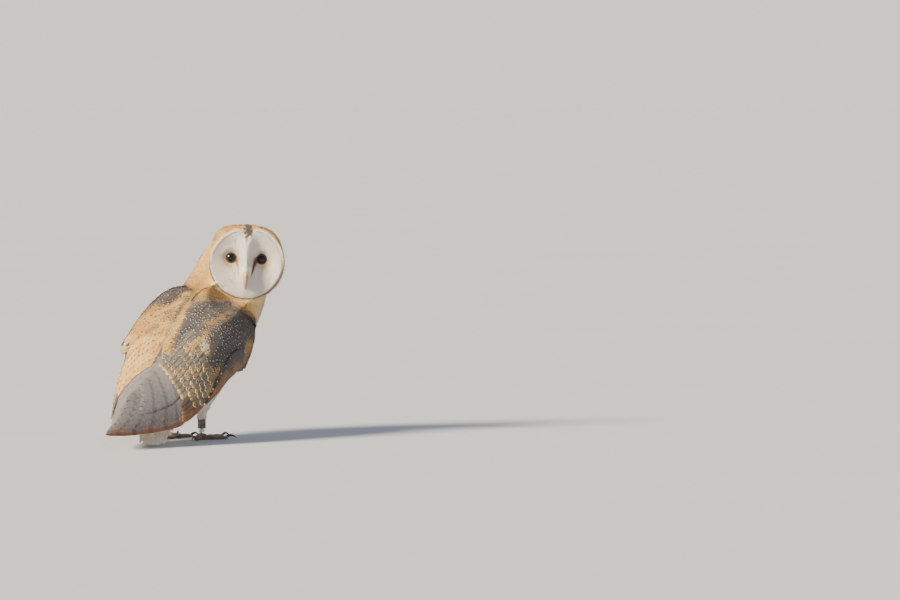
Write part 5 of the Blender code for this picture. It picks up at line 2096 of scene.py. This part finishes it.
# %% Floor
FLOOR_REACH = 50.0
FLOOR_SIDES = 64
BELOW_FEET = 0.0004


def floor_finish():
    """A matt grey, a little blue against the warm light."""
    bench = Bench("floor")
    tone = bench.noise(bench.place(), 3.0, 4.0)
    colour = bench.mix((0.583, 0.608, 0.655), (0.568, 0.593, 0.640), tone.step(0.3, 0.7))
    return bench.finish(colour, 0.85 + tone * 0.1)


def make_floor():
    """One large flat disc, just below the feet."""
    mesh = bpy.data.meshes.new("floor")
    turns = np.linspace(0.0, 2 * math.pi, FLOOR_SIDES, endpoint=False)
    rim = [(math.cos(a) * FLOOR_REACH, math.sin(a) * FLOOR_REACH, -BELOW_FEET) for a in turns]
    mesh.from_pydata(rim, [], [list(range(FLOOR_SIDES))])
    mesh.materials.append(floor_finish())
    floor = bpy.data.objects.new("floor", mesh)
    bpy.context.scene.collection.objects.link(floor)


make_floor()
print("floor reaches", FLOOR_REACH, "m")

# %% [markdown]
# ### Lights
# The key comes low from the camera's left and is warm, as late sun is. It is a far lamp with a
# wide disc, which lights the whole floor alike and softens the shadows. A weak cool lamp on the
# right opens the dark side.

# %% Lights
KEY_SPREAD = math.radians(16.0)
KEY_STRENGTH = 10.8
KEY_TINT = (1.0, 0.85, 0.64)
FILL_SIZE = 1.8
FILL_POWER = 5.0
FILL_TINT = (0.90, 0.95, 1.0)


def hang(name, data, power, tint, spot, turn):
    """Give a lamp its power and tint and put it into the scene."""
    data.energy = power
    data.color = tint
    light = bpy.data.objects.new(name, data)
    light.location = Vector(spot)
    light.rotation_euler = turn.to_euler()
    bpy.context.scene.collection.objects.link(light)
    print("light", name, "power", power)


key_data = bpy.data.lights.new("key", "SUN")
key_data.angle = KEY_SPREAD
key_from = Vector(-frame_right + back * 0.55 + UP * 0.62)
hang("key", key_data, KEY_STRENGTH, KEY_TINT, (0.0, 0.0, 0.0), key_from.to_track_quat("Z", "Y"))

fill_data = bpy.data.lights.new("fill", "AREA")
fill_data.shape = "DISK"
fill_data.size = FILL_SIZE
fill_spot = owl_middle + frame_right * 1.8 + back * 1.6 + UP * 1.2
fill_turn = Vector(owl_middle - fill_spot).to_track_quat("-Z", "Y")
hang("fill", fill_data, FILL_POWER, FILL_TINT, fill_spot, fill_turn)

# %% [markdown]
# ### Sky
# The sky is a smooth wall without clouds. It meets the far floor in the floor's own tone and
# darkens overhead, which keeps the top of the bird from washing out.

# %% Sky
HORIZON = (1.12, 1.07, 1.0)
OVERHEAD = (0.35, 0.38, 0.45)


def make_world():
    """From the horizon's tone to the one overhead, by the height of the direction."""
    bench = Bench("studio", "worlds")
    _, _, height = bench.split(bench.node("ShaderNodeTexCoord", output="Generated"))
    sky = bench.tree.nodes["Background"].inputs
    bench.plug(sky["Color"], bench.mix(HORIZON, OVERHEAD, height.step(0.02, 0.14)))
    bench.plug(sky["Strength"], 1.0)
    bpy.context.scene.world = bench.owner
    print("sky made of", len(bench.tree.nodes), "nodes")


make_world()
